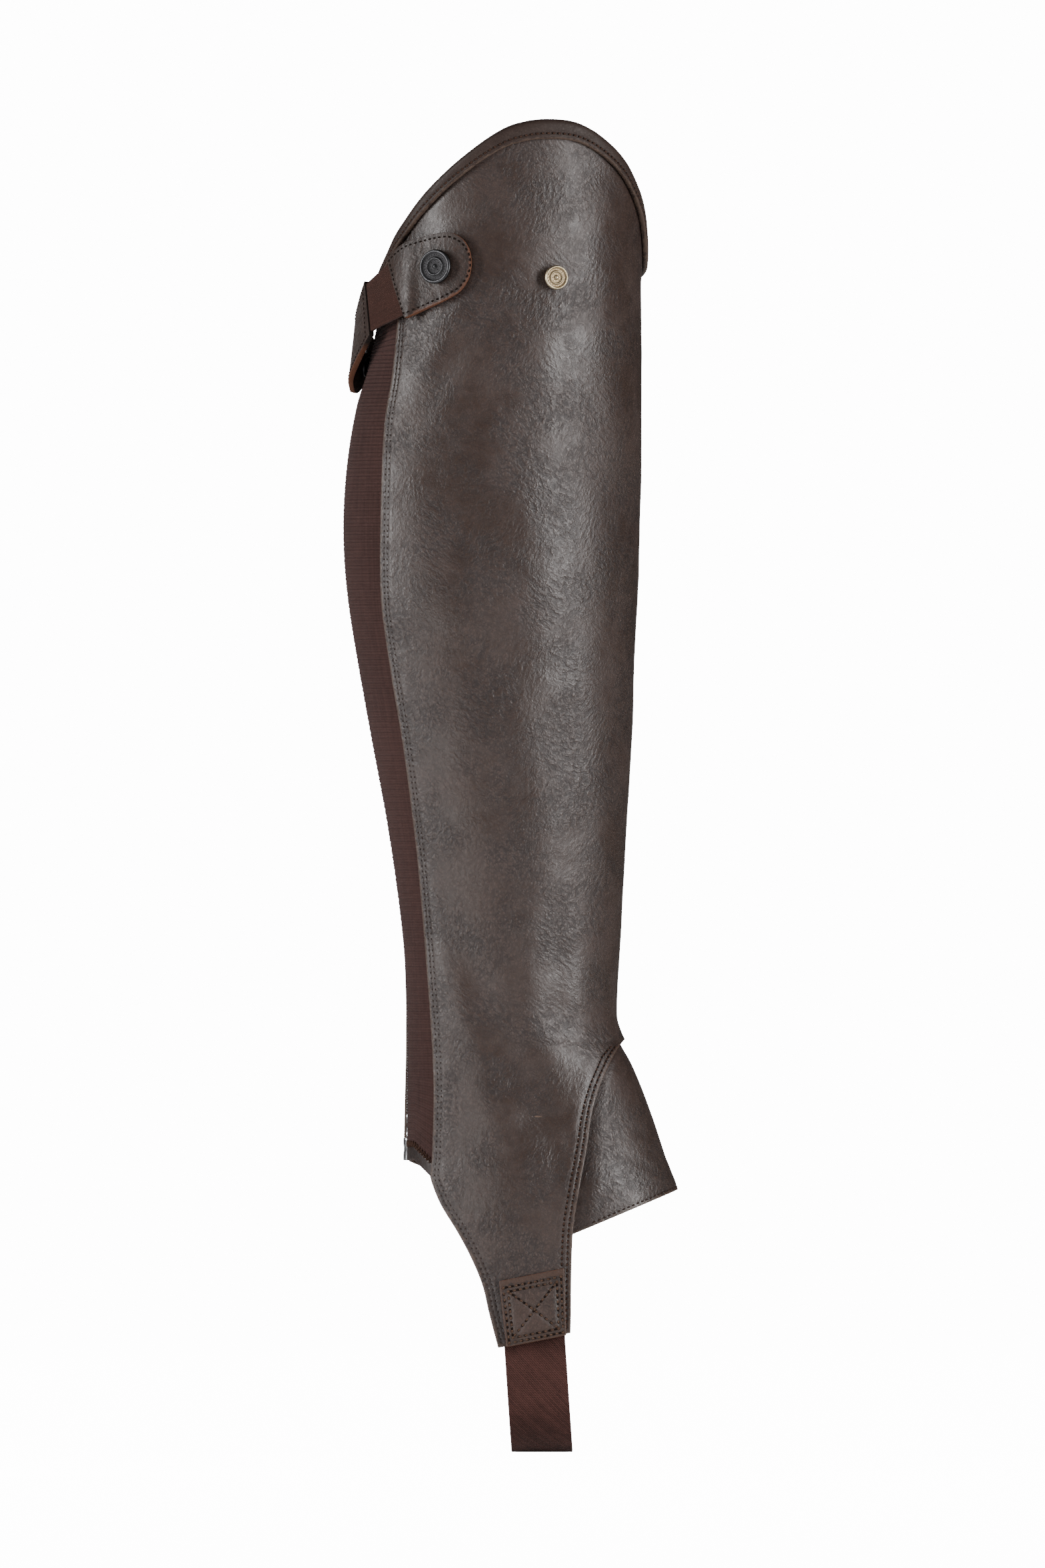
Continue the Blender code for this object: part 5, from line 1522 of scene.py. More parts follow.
@dataclass
class Zip:
    """The zip: tapes, teeth, the separable end, and the slider with its pull behind the fastened strap."""

    tape_top: float = 80.4
    tape_end: float = -271.6
    tape_thick: float = 0.9
    tape_out: float = -2.6
    tape_out_far: float = -1.7
    chain_half: float = 3.0
    chain_out: float = 0.1
    chain_in: float = -3.1
    chain_top: float = 82.3
    chain_end: float = -253.0
    pin_end: float = -263.2
    box_end: float = -273.0
    tooth_pitch: float = 1.08
    # place across, half width along the zip, height above and below the middle
    tooth_stations: Table = (
        (-2.9, 0.36, 0.55), (-2.5, 0.46, 1.15), (-1.0, 0.46, 1.35), (-0.2, 0.30, 1.35), (0.5, 0.44, 1.30),
        (1.1, 0.40, 1.05), (1.35, 0.22, 0.7))
    # Above these heights the teeth lie deeper between the leather and the elastic.
    bare_from: tuple[float, float] = (-190.0, -140.0)
    chain_sink: float = 0.45
    # The gap between neighbouring pieces of the zip.
    gap: float = 0.3
    # half width, outer level, inner level
    pin: tuple[float, float, float] = (1.5, -0.2, -2.6)
    box: tuple[float, float, float] = (3.2, 0.9, -3.4)
    slider_top: float = 86.4
    # The levels of the outer plate's two faces, and of the inner plate's.
    plates: Table = ((1.4, 0.5), (-4.1, -5.0))
    # The wedge between the plates' noses, and a flange beside them: drop below the slider's top, side.
    wedge: Table = ((0.9, -1.1), (0.9, 1.1), (3.4, 0.4), (3.4, -0.4))
    flange: Table = ((2.6, 3.45), (2.6, 3.95), (7.4, 3.6), (7.4, 3.15))
    flange_in: float = -0.6
    # drop below the slider's top, half width
    plate: Table = (
        (0.6, 1.5), (0.8, 2.6), (1.4, 3.5), (2.6, 4.0), (5.0, 4.0), (7.6, 3.6), (9.4, 3.0), (10.0, 2.2))
    bridge_half: float = 0.9
    # drop below the slider's top, distance out
    bridge: Table = (
        (1.6, 1.7), (1.6, 3.0), (1.9, 3.6), (2.6, 3.9), (7.0, 3.9), (7.7, 3.6), (8.0, 3.0), (8.0, 1.7),
        (7.0, 1.7), (7.0, 3.1), (2.6, 3.1), (2.6, 1.7))
    # drop below the slider's top, half width
    pull: Table = (
        (5.4, 2.0), (5.7, 2.35), (6.5, 2.6), (8.8, 2.6), (10.4, 2.6), (12.0, 2.3), (15.0, 2.4), (18.5, 2.9),
        (20.8, 3.0), (21.6, 2.7), (22.1, 2.2), (22.4, 1.4))
    pull_slot: float = 1.5
    # The number of the tag's face that is left out for the slot: the middle one of the third row.
    slot_face: int = 7
    pull_out: float = 2.75
    pull_in: float = 1.95

    def tape(self, name: str, sign: int, lap: float, far_out: float, finishes: Finishes, node: str) -> Thing:
        """One tape, from beside the teeth to under the edge beside it."""
        height = np.linspace(self.tape_top, self.tape_end, 181)[:, None]
        near, edge, far = self.chain_half + self.gap, LEG.zip_edge - 0.4, LEG.zip_edge + lap
        reach = np.array([near, 3.9, 4.4, edge, 6.2, 7.6, far])
        bends = (near, edge, far)
        out = np.interp(reach, bends, (self.tape_out, self.tape_out, far_out))
        angle = LEG.zip_angle(height, sign * reach)
        outer, inner = (LEG.off(angle, height, level) for level in (out, out - self.tape_thick))
        wall = grid_wall(name, outer, inner, rounding=0.25)
        return publish(wall.build(finishes.tape), "zip_tape", node)

    def tooth(self) -> Thing:
        """One tooth, lying along X with its head past the zip's line."""
        corners = ((-1, -0.6), (-1, 0.6), (-0.6, 1), (0.6, 1), (1, 0.6), (1, -0.6), (0.6, -1), (-0.6, -1))
        made = bmesh.new()
        loft(made, [[(-across * MM, a * half * MM, b * tall * MM) for a, b in corners]
                    for across, half, tall in self.tooth_stations])
        return pattern("tooth", made)

    def bar(self, name: str, start: float, stop: float, half: float, out: float, into: float,
            finishes: Finishes, node: str) -> None:
        """A rounded bar along the zip's line: the pin or the box."""
        height = np.linspace(start, stop, 9)[:, None]
        middle = (out + into) / 2
        side = np.linspace(-half, half, 7)
        waist = 1 - 0.25 * bell(height - (start + stop) / 2, 0.9)
        full = np.sqrt(np.clip(1 - (side / half) ** 4, 0.12, 1)) * waist
        outer, inner = (LEG.zip_point(height, side, middle + (end - middle) * full) for end in (out, into))
        wall = grid_wall(name, outer, inner, rounding=0.3)
        publish(wall.build(finishes.zip_metal), "zip_metal", node)

    def prism(self, made: Draft, outline: Sequence[Sequence[float]], out: float, into: float) -> None:
        """A flat plate of the slider: an outline of drops and sides, given a thickness."""
        loft(made, [[LEG.zip_point(self.slider_top - drop, side, level) * MM for drop, side in outline]
                    for level in (out, into)])

    def metal(self, name: str, made: Draft, rounding: float, finishes: Finishes, node: str) -> None:
        """Makes a metal piece with rounded edges of a mesh."""
        thing = link(name, meshed(name, made), finishes.zip_metal)
        round_edges(thing, rounding)
        smooth_faces(thing.data, METAL_SHARP)
        publish(thing, "zip_metal", node)

    def slider(self, finishes: Finishes) -> None:
        """The slider's body: two plates, the wedge between their noses and the flanges along their sides."""
        made = bmesh.new()
        outline = [*self.plate, *[(drop, -half) for drop, half in reversed(self.plate)]]
        for levels in self.plates:
            self.prism(made, outline, *levels)
        (_, under), (above, _) = self.plates
        self.prism(made, self.wedge, under, above)
        for sign in (-1, 1):
            self.prism(made, [(drop, side * sign) for drop, side in self.flange], under, self.flange_in)
        self.metal("zip_slider_body", made, 0.22, finishes, "zip_slider")
        made = bmesh.new()
        loft(made, [[LEG.zip_point(self.slider_top - drop, side, out) * MM for drop, out in self.bridge]
                    for side in (-self.bridge_half, self.bridge_half)])
        self.metal("zip_slider_bridge", made, 0.18, finishes, "zip_bridge")

    def pull_tag(self, finishes: Finishes) -> None:
        """The pull: a flat tag with a slot that goes over the bridge."""
        drops, halves = np.array(self.pull).T
        slot = np.minimum(halves - 0.5, self.pull_slot)
        sides = np.stack([-halves, -slot, slot, halves], 1)
        height = self.slider_top - drops[:, None]
        outer, inner = (LEG.zip_point(height, sides, out) for out in (self.pull_out, self.pull_in))
        wall = grid_wall("zip_pull_tag", outer, inner, rounding=0.22)
        wall.quads = np.delete(wall.quads, self.slot_face, axis=0)
        publish(wall.build(finishes.zip_metal), "zip_metal", "zip_pull")

    def build(self, finishes: Finishes) -> tuple[Thing, Thing]:
        """Makes the zip. Returns its tapes, the outer one first."""
        tapes = (self.tape("zip_tape_cloth_outer", -1, 5.0, self.tape_out, finishes, "zip_tape_outer"),
                 self.tape("zip_tape_cloth_inner", 1, 6.0, self.tape_out_far, finishes, "zip_tape_inner"))
        height = np.linspace(self.chain_top - 0.6, self.chain_end + 0.6, 400)
        sunk = np.interp(height, self.bare_from, (0.0, self.chain_sink))
        line = laid(LEG.zip_angle(height), height, (self.chain_out + self.chain_in) / 2 - sunk)
        metal, tooth = finishes.zip_metal, self.tooth()
        teeth = repeat("zip_teeth", [line], tooth, self.tooth_pitch, metal, Lie.CROSSWISE, 0.0)
        smooth_faces(teeth.data, METAL_SHARP)
        publish(teeth, "zip_metal", "zip_chain")
        pin_top, box_top = self.chain_end - self.gap, self.pin_end - self.gap
        self.bar("zip_pin_bar", pin_top, self.pin_end, *self.pin, finishes, "zip_pin")
        self.bar("zip_box_body", box_top, self.box_end, *self.box, finishes, "zip_box")
        self.slider(finishes)
        self.pull_tag(finishes)
        return tapes


@dataclass
class Strap:
    """The strap: a front tab, a short elastic and a back tab, with stitches round both tabs."""

    # upper forward, upper height, lower forward, lower height, lift off the panel
    front: Table = (
        (-11.3, 102.9, -11.3, 100.0, 0.0), (-12.3, 107.2, -12.4, 95.0, 0.0), (-15.3, 111.6, -15.8, 89.8, 0.0),
        (-20.3, 114.0, -21.4, 86.2, 0.0), (-26.4, 113.4, -28.4, 82.9, 0.0), (-32.0, 111.9, -33.2, 80.6, 0.6),
        (-38.4, 109.6, -36.4, 79.0, 2.4), (-43.2, 105.8, -38.0, 78.2, 3.0), (-45.9, 102.3, -38.9, 77.8, 3.0))
    # upper forward, upper side, upper height, lower forward, lower side, lower height
    back: Table = (
        (-55.3, -14.0, 94.5, -53.2, -29.5, 72.0), (-57.6, -3.0, 87.2, -58.2, -17.5, 62.6),
        (-59.0, 8.0, 79.8, -61.9, -5.0, 54.2), (-56.4, 18.2, 74.4, -61.7, 4.4, 49.8),
        (-53.2, 26.2, 70.8, -60.9, 13.0, 48.2), (-51.8, 30.0, 65.8, -59.2, 21.2, 49.2),
        (-52.0, 30.6, 61.2, -57.2, 25.4, 52.4))
    thick: float = STRAP_THICK
    elastic_thick: float = 1.4
    elastic_sink: float = 0.4
    elastic_narrower: float = 0.06
    join_gap: float = 0.7
    inset: float = 1.8
    groove_half: float = 0.45
    fineness: int = 7
    columns: int = 24
    rounding: float = 0.55
    # The distance from an edge that hidden points are given, so that they show no wear.
    unworn: float = 2.0
    # The pressed line across the front tab: its place at a height, its lean, its half width and its depth.
    press_forward: float = -27.2
    press_height: float = 96.0
    press_lean: float = 0.22
    press_half: float = 0.9
    press_depth: float = 0.22

    def front_points(self, place: Points, share: Points) -> tuple[Points, Points, Points]:
        """The tab's outer points, inner points and facing, at places along its rows and shares down it."""
        curve = Curve(tuple((k, *row) for k, row in enumerate(self.front)))
        up_forward, up_height, low_forward, low_height, lift = (curve.at(place, c) for c in range(1, 6))
        into = APPLIED_IN + np.maximum(lift, 0)
        out = into + self.thick
        upper = LEG.angle_at(up_forward, up_height, out)
        lower = LEG.angle_at(low_forward, low_height, out)
        angle = upper + (lower - upper) * share
        height = up_height + (low_height - up_height) * share
        return LEG.off(angle, height, out), LEG.off(angle, height, into), LEG.facing(angle, height)

    def stations(self, rows: list[tuple[Points, Points]], places: Points) -> tuple[Points, Points]:
        """The upper and lower edge points at places along rows of edge points, on a smooth curve."""
        found = []
        for edge in (0, 1):
            curve = Curve(tuple((k, *map(float, row[edge])) for k, row in enumerate(rows)))
            found.append(np.stack([curve.at(places, c) for c in (1, 2, 3)], -1))
        return found[0], found[1]

    def outward(self, upper: Points, lower: Points) -> Points:
        """The direction that a ribbon's outer face looks at each station."""
        middle = upper + lower
        along = np.gradient(middle, axis=0)
        out = unit(np.cross(lower - upper, along))
        level = middle * (1, 1, 0)
        return out * np.where((out * level).sum(-1, keepdims=True) < 0, -1, 1)

    def rim_path(self, width: Points) -> tuple[Points, Points]:
        """A stitch row round a tab's end, as place numbers and shares down: along, round the end and back."""
        share = np.minimum(self.inset / np.maximum(width, 0.1), 0.5)
        inside = np.where(width > 2.3 * self.inset)[0]
        order = np.concatenate([inside[::-1], inside])
        return order, np.concatenate([share[inside][::-1], 1 - share[inside]])

    def back_rows(self) -> list[tuple[Points, Points]]:
        """The upper and lower edge points of the back tab's stations."""
        return [(np.array(row[:3]), np.array(row[3:])) for row in self.back]

    def tab(self, name: str, outer: Points, inner: Points, hidden: Points) -> Wall:
        """A tab's wall.

        Args:
            name: The piece's name.
            outer: The outer skin, as rows and columns of points.
            inner: The inner skin.
            hidden: How far each point is from showing wear, from 0 to 1.

        Returns:
            The wall, with painted shade marked as a groove where its stitches run.
        """
        wall = grid_wall(name, outer, inner, self.rounding, self.groove(outer))
        wall.marks["edge"] = wall.marks["edge"] + self.unworn * hidden.ravel()
        return wall

    def front_tab(self, finishes: Finishes, sewing: Sewing) -> None:
        """The tab on the outer side, with a pressed line across it and stitches round it."""
        share = np.linspace(0, 1, self.columns + 1)
        end = len(self.front) - 1
        place = np.linspace(0, end, end * self.fineness + 1)
        outer, inner, facing = self.front_points(place[:, None], share)
        lean = (outer[..., 2] - self.press_height) * self.press_lean
        press = bell(outer[..., 0] - self.press_forward + lean, self.press_half)
        outer = outer - facing * (press * self.press_depth)[..., None]
        order, down = self.rim_path(np.linalg.norm(outer[:, 0] - outer[:, -1], axis=-1))
        last = len(place) - 1 - int(self.fineness * 0.3)
        order, down = self.closed(order, down, order[len(order) // 2], last)
        points, _, lay = self.front_points(place[order], down)
        level = place[:, None]
        hidden = np.maximum(np.clip(level / 2.4 - share * 2.2, 0, 1), np.clip(level - end + 1, 0, 0.2))
        wall = self.tab("strap_front_leather", outer, inner, hidden)
        front = publish(wall.build(*finishes.cut_tab), "leather", "strap_front_tab")
        sewn = sewing.rows("strap_front_stitches", [Path(points, lay)], finishes.thread, "leather")

    def back_tab(self, finishes: Finishes, sewing: Sewing) -> None:
        """The tab behind the calf, painted at the end that the elastic is sewn to."""
        share = np.linspace(0, 1, self.columns + 1)
        rows = self.back_rows()
        place = np.linspace(0, len(rows) - 1, (len(rows) - 1) * self.fineness + 1)
        upper, lower = self.stations(rows, place)
        out = self.outward(upper, lower)
        outer = upper[:, None] + (lower - upper)[:, None] * share[None, :, None]
        painted = np.clip(1 - place, 0, 1)
        hidden = np.maximum(1 - np.clip(share * 2 - 0.5, 0, 1), painted[:, None])
        wall = self.tab("strap_back_leather", outer, outer - (out * self.thick)[:, None], hidden)
        wall.marks["painted"] = np.repeat(painted, len(share))
        back = publish(wall.build(*finishes.cut_tab), "leather", "strap_back_tab")
        order, down = self.rim_path(np.linalg.norm(upper - lower, axis=-1)[::-1])
        order = len(place) - 1 - order
        order, down = self.closed(order, down, order[len(order) // 2], 2)
        points = upper[order] + (lower[order] - upper[order]) * down[:, None]
        sewn = sewing.rows("strap_back_stitches", [Path(points, out[order])], finishes.thread, "leather")

    def closed(self, order: Points, down: Points, tip: int, far: int) -> tuple[Points, Points]:
        """A rim path cut off at its far end, and closed across it."""
        keep = (order - far) * (tip - far) >= 0
        order, down = order[keep], down[keep]
        across = np.linspace(down[-1], down[0], 12)[1:]
        return np.concatenate([order, np.full(11, order[-1])]), np.concatenate([down, across])

    def groove(self, outer: Points) -> Points:
        """How much painted shade a tab has where its stitches run; the tab itself is not sunk there."""
        rows, columns = outer.shape[:2]
        distance = edge_distance(outer.reshape(-1, 3), grid_quads(rows - 1, columns - 1))
        return bell(distance.reshape(rows, columns) - self.inset, self.groove_half)

    def elastic(self, finishes: Finishes) -> None:
        """The short elastic between the tabs."""
        back = self.back_rows()
        end = len(self.front) - 1
        edge = np.array([0.0, 1.0])
        front = [self.front_points(np.array([float(k)]), edge)[0] for k in (end - 1, end)]
        half = self.stations(back, np.array([0.5]))
        join = [*front, back[0], (half[0][0], half[1][0])]
        length = np.linalg.norm(np.mean(join[2], axis=0) - np.mean(join[1], axis=0))
        part = self.join_gap / length
        upper, lower = self.stations(join, 1 + np.linspace(part, 1 - part, 17))
        out = self.outward(upper, lower)
        width = lower - upper
        upper, lower = upper + width * self.elastic_narrower, lower - width * self.elastic_narrower
        share = np.linspace(0, 1, 19)
        face = upper[:, None] + (lower - upper)[:, None] * share[None, :, None]
        outer = face - (out * self.elastic_sink)[:, None]
        inner = outer - (out * self.elastic_thick)[:, None]
        wall = grid_wall("strap_elastic_cloth", outer, inner, rounding=0.4)
        thing = wall.build(finishes.strap_elastic)
        publish(thing, "strap_elastic", "strap_elastic")

    def build(self, finishes: Finishes, sewing: Sewing) -> None:
        """Makes the strap."""
        self.front_tab(finishes, sewing)
        self.back_tab(finishes, sewing)
        self.elastic(finishes)


def rounded(profile: Table, times: int = 2) -> list[tuple[float, float]]:
    """A profile with its corners cut again and again, until it is smooth."""
    points = [tuple(point) for point in profile]
    for _ in range(times):
        cut = [points[0]]
        for (ax, ay), (bx, by) in zip(points, points[1:]):
            cut += [(ax * near + bx * (1 - near), ay * near + by * (1 - near)) for near in (0.75, 0.25)]
        points = [*cut, points[-1]]
    return points


@dataclass(frozen=True)
class Turned:
    """A round metal piece: its turned profile, from the middle out and down, and its ornament."""

    profile: Table
    # The rings of small marks on it: radius, level, count, length and width of each mark.
    beads: tuple[float, ...] = ()
    petals: tuple[float, ...] = ()
    sides: int = 64

    def ring(self, spin: Quaternion, middle: Vector, radius: float, level: float) -> list[Vector]:
        """The points of a ring round the piece's axis."""
        turns = (math.tau * k / self.sides for k in range(self.sides))
        return [middle + spin @ Vector((radius * math.cos(turn), radius * math.sin(turn), level))
                for turn in turns]


@dataclass
class Fasteners:
    """The snaps and the stud, with a plain ring ornament of beads and petals."""

    strap: Strap
    panel: MainPanel
    cap: Turned = Turned(
        ((0.0, 2.05), (0.5, 2.0), (0.9, 1.7), (1.4, 1.6), (3.0, 1.66), (3.3, 1.98), (3.75, 1.98), (4.0, 1.6),
         (5.7, 1.62), (6.05, 1.95), (6.8, 1.95), (7.2, 1.4), (7.2, 0.4), (6.4, 0.0)),
        (4.85, 1.6, 26, 0.62, 0.44), (2.15, 1.62, 8, 0.95, 0.46))
    stud: Turned = Turned(
        ((0.0, 2.8), (0.5, 2.75), (0.85, 2.3), (1.2, 2.15), (2.2, 2.2), (2.4, 2.6), (2.7, 2.6), (2.95, 2.1),
         (4.0, 2.15), (4.25, 2.7), (4.75, 2.7), (5.1, 2.1), (5.1, 1.2), (3.9, 0.7), (2.8, 0.0)),
        (3.5, 2.14, 18, 0.62, 0.44), (1.65, 2.16, 8, 0.95, 0.46))
    socket: Turned = Turned((
        (0.0, 0.45), (1.5, 0.45), (1.8, 0.8), (2.4, 1.0), (3.6, 1.0), (4.2, 0.7), (4.3, 0.0)))
    base: Turned = Turned(((0.0, 0.5), (2.0, 0.5), (3.2, 0.5), (3.6, 0.3), (3.6, 0.0)))
    snap_place: tuple[float, float] = (-25.6, 99.5)
    stud_place: tuple[float, float] = (24.5, 95.4)
    snap_seat: float = 0.9
    back_station: float = 4.0
    back_seat: float = 0.45
    mark_height: float = 0.22
    # Hollows get painted shade from this much below the top on, by this much a millimetre, up to this share.
    shade_slope: float = 2.2
    shade_most: float = 0.8
    # The outer rim this wide gets no painted shade.
    unshaded_rim: float = 0.3

    def turn(self, name: str, form: Turned, centre: Points, axis: Points, material: Material,
             slot: str, node: str) -> None:
        """Turns a piece, sets its ornament on it and sets both on the body.

        Args:
            name: The piece's name.
            form: Its form.
            centre: The middle of its foot.
            axis: The direction that it faces.
            material: Its finish.
            slot: Its material slot, which is passed on but not used.
            node: The solid that it stands for.
        """
        spin, middle = Vector(axis).to_track_quat("Z", "Y"), Vector(centre)
        profile = rounded(form.profile)
        made = bmesh.new()
        rings = [[point * MM for point in form.ring(spin, middle, *row)] for row in profile[1:]]
        loft(made, rings, (middle + spin @ Vector((0, 0, profile[0][1]))) * MM)
        mesh = meshed(name, made)
        radii, levels = np.array(profile[1:]).T
        # Painted shade, deeper in the hollows under the top, none on the outer rim; the metal finish reads it
        # as its groove mark.
        dark = np.clip((levels.max() - levels) * self.shade_slope, 0, self.shade_most)
        dark = dark * (radii < radii.max() - self.unshaded_rim)
        mark_points(mesh, "groove", np.concatenate([np.repeat(dark, form.sides), [0.0]]))
        smooth_faces(mesh, METAL_SHARP)
        publish(link(name, mesh, material), slot, node)
        for suffix, marks in (("beads", form.beads), ("petals", form.petals)):
            if not marks:
                continue
            radius, level, count, long, wide = marks
            loop = np.array(form.ring(spin, middle, radius, level))
            ring = Path(loop, np.repeat(np.array(axis, float)[None], len(loop), 0))
            mark = capsule(f"{name}_mark", long, wide, self.mark_height)
            pitch = math.tau * radius / count
            piece = repeat(f"{name}_{suffix}", [ring], mark, pitch, material, Lie.CROSSWISE, 0.0, closed=True)
            publish(piece, slot)

    def build(self, finishes: Finishes) -> None:
        """Makes the snaps and the stud."""
        over_tab = APPLIED_IN + STRAP_THICK + self.snap_seat
        dark = finishes.gunmetal
        for name, form, (forward, height), out, material, slot, node in (
            ("snap_front_cap", self.cap, self.snap_place, over_tab, dark, "snap_metal", "snap_front"),
            ("stud_cap", self.stud, self.stud_place, APPLIED_IN, finishes.brass, "brass", "gold_stud"),
        ):
            angle = LEG.angle_at(forward, height, out)
            centre, axis = LEG.off(angle, height, out), LEG.facing(angle, height)
            self.turn(name, form, centre, axis, material, slot, node)
        near = self.back_station + np.array([-0.5, 0.0, 0.5])
        upper, lower = self.strap.stations(self.strap.back_rows(), near)
        along = upper[2] + lower[2] - upper[0] - lower[0]
        out = unit(np.cross(lower[1] - upper[1], along))
        out = -out if out[0] > 0 else out
        centre = (upper[1] + lower[1]) / 2
        under_tab = centre - out * (STRAP_THICK + self.back_seat)
        angle = LEG.back_angle(centre[1], centre[2])
        sunk = APPLIED_IN - self.panel.drawn_in(angle - 360, centre[2])
        on_panel, facing = LEG.off(angle, centre[2], sunk), LEG.facing(angle, centre[2])
        for part, form, place, axis in (
            ("cap", self.cap, centre + out * self.back_seat, out), ("socket", self.socket, under_tab, -out),
            ("stud", self.base, on_panel, facing),
        ):
            self.turn(f"snap_back_{part}_turned", form, place, axis, dark, "snap_metal", f"snap_back_{part}")


@dataclass
class Stirrup:
    """The elastic that goes under the boot, and the patches sewn over its ends."""

    width: float = 25.6
    thick: float = 1.6
    top: float = -323.0
    bottom: float = -394.8
    side: float = 37.9
    corner: float = 24.0
    middle_top: float = 14.2
    middle_low: float = 19.0
    corner_steps: int = 24
    # upper back, upper front, lower back, lower front: forward, height
    corners: tuple[tuple[float, float], ...] = ((0.2, -323.0), (28.4, -317.6), (3.4, -350.6), (29.3, -345.6))
    # The thin line beside each selvedge, in shares of the width, and its depth.
    selvedge_at: float = 0.455
    selvedge_half: float = 0.012
    selvedge_depth: float = 0.12
    patch_size: float = 28.0
    # The patch's two stitch rows, from its edge, and their groove. Its cross runs from corner to corner.
    frame_rows: tuple[float, float] = (1.5, 3.4)
    row_half: float = 0.55
    cross_half: float = 0.8
    half_diagonal: float = 19.8
    groove_depth: float = 0.34
    stitch_depth: float = 0.16
    # How much painted shade lies in the grooves of the stitch rows and the cross.
    groove_shade: float = 0.6
    puff: float = 0.2
    # The strip of raw leather that shows above the rows.
    raw_strip: float = 1.7

    def line(self) -> Points:
        """The stirrup's line seen from the front: side and height."""
        low = self.bottom + self.corner
        drop = np.linspace(self.top, low, 24)[:-1]
        down = [(-self.side, height) for height in drop]
        turn = np.linspace(0, math.pi / 2, self.corner_steps + 1)
        down += [
            (-self.side + self.corner * (1 - math.cos(t)), low - self.corner * math.sin(t)) for t in turn
        ]
        flat = np.linspace(down[-1][0], -down[-1][0], 10)[1:-1]
        return np.array([*down, *[(y, self.bottom) for y in flat], *[(-y, z) for y, z in reversed(down)]])

    def elastic(self, finishes: Finishes) -> None:
        """The twill elastic."""
        line = self.line()
        share = (self.top - line[:, 1]) / (self.top - self.bottom)
        middle = self.middle_top + (self.middle_low - self.middle_top) * share
        along = unit(np.gradient(line, axis=0))
        into = np.stack([0 * middle, -along[:, 1], along[:, 0]], 1)
        across = np.concatenate(([-0.5, -0.48, -0.45], np.linspace(-0.41, 0.41, 12), [0.45, 0.48, 0.5]))
        spine = np.stack([middle, line[:, 0], line[:, 1]], 1)
        outer = spine[:, None] + across[None, :, None] * self.width * np.array((1.0, 0, 0))
        selvedge = bell(np.abs(across) - self.selvedge_at, self.selvedge_half) * self.selvedge_depth
        inner = outer + (into * self.thick)[:, None]
        outer = outer + into[:, None] * selvedge[None, :, None]
        wall = grid_wall("stirrup_elastic_cloth", outer, inner, rounding=0.45)
        thing = wall.build(finishes.stirrup)
        publish(thing, "strap_elastic", "stirrup_elastic")

    def patch_place(self, share: Points, down: Points) -> tuple[Points, Points]:
        """The angle and height at a share across the patch and down it."""
        (ub, ubh), (uf, ufh), (lb, lbh), (lf, lfh) = self.corners
        back, front = ub + (lb - ub) * down, uf + (lf - uf) * down
        high, low = ubh + (ufh - ubh) * share, lbh + (lfh - lbh) * share
        height = high + (low - high) * down
        return LEG.angle_at(back + (front - back) * share, height, PATCH_OUT), height

    def frame_paths(self, sign: int) -> list[Path]:
        """The patch's stitch rows: two round its edge, and a cross from corner to corner."""
        lines = []
        for row in (*self.frame_rows, self.frame_rows[1] + 1.0):
            e, top = row / self.patch_size, (row + self.raw_strip) / self.patch_size
            lines += [[(e, top), (1 - e, top), (1 - e, 1 - e), (e, 1 - e), (e, top)]]
        square = lines.pop()
        lines += [square[:3:2], square[1:4:2]]
        paths = []
        t = np.linspace(0, 1, 30)
        for line in lines:
            for a, b in zip(line, line[1:]):
                angle, height = self.patch_place(a[0] + (b[0] - a[0]) * t, a[1] + (b[1] - a[1]) * t)
                paths.append(laid(sign * angle, height, PATCH_OUT - self.stitch_depth))
        return paths

    def patch(self, name: str, sign: int, finishes: Finishes, sewing: Sewing, node: str) -> None:
        """One patch, pulled in along its stitches."""
        side = np.linspace(0, 1, 43)
        share, down = side[None, :], side[:, None]
        angle, height = self.patch_place(share, down)
        angle = sign * angle
        raw = self.raw_strip / self.patch_size
        below = down - raw
        near = self.patch_size * np.minimum(np.minimum(share, 1 - share), np.minimum(below, 1 - down))
        groove = sum(bell(near - row, self.row_half) for row in self.frame_rows)
        inner_part = np.clip(near - self.frame_rows[1] - 0.5, 0, 1)
        drop = below / (1 - raw)
        cross = sum(bell(away * self.half_diagonal, self.cross_half)
                    for away in (share - drop, share + drop - 1))
        groove = np.clip(groove + cross * inner_part, 0, 1)
        out = PATCH_OUT - self.groove_depth * groove + self.puff * np.clip(1 - cross, 0, 1) * inner_part
        outer, inner = LEG.off(angle, height, out), LEG.off(angle, height, APPLIED_IN)
        wall = grid_wall(name, outer, inner, rounding=0.4, groove=groove * self.groove_shade)
        strip = np.clip(2.0 - self.patch_size * down / (self.raw_strip + 0.6), 0, 1)
        wall.marks["edge"] = wall.marks["edge"] * (1 - 0.8 * np.repeat(strip, len(side)))
        patch = publish(wall.build(finishes.patch, finishes.raw, finishes.flesh), "leather", node)
        sewn = sewing.laced(name, self.frame_paths(sign), finishes.thread_light, finishes.thread, pitch=2.5)

    def build(self, finishes: Finishes, sewing: Sewing) -> None:
        """Makes the stirrup and its patches."""
        self.elastic(finishes)
        self.patch("patch_leather_outer", 1, finishes, sewing, "patch_outer")
        self.patch("patch_leather_inner", -1, finishes, sewing, "patch_inner")


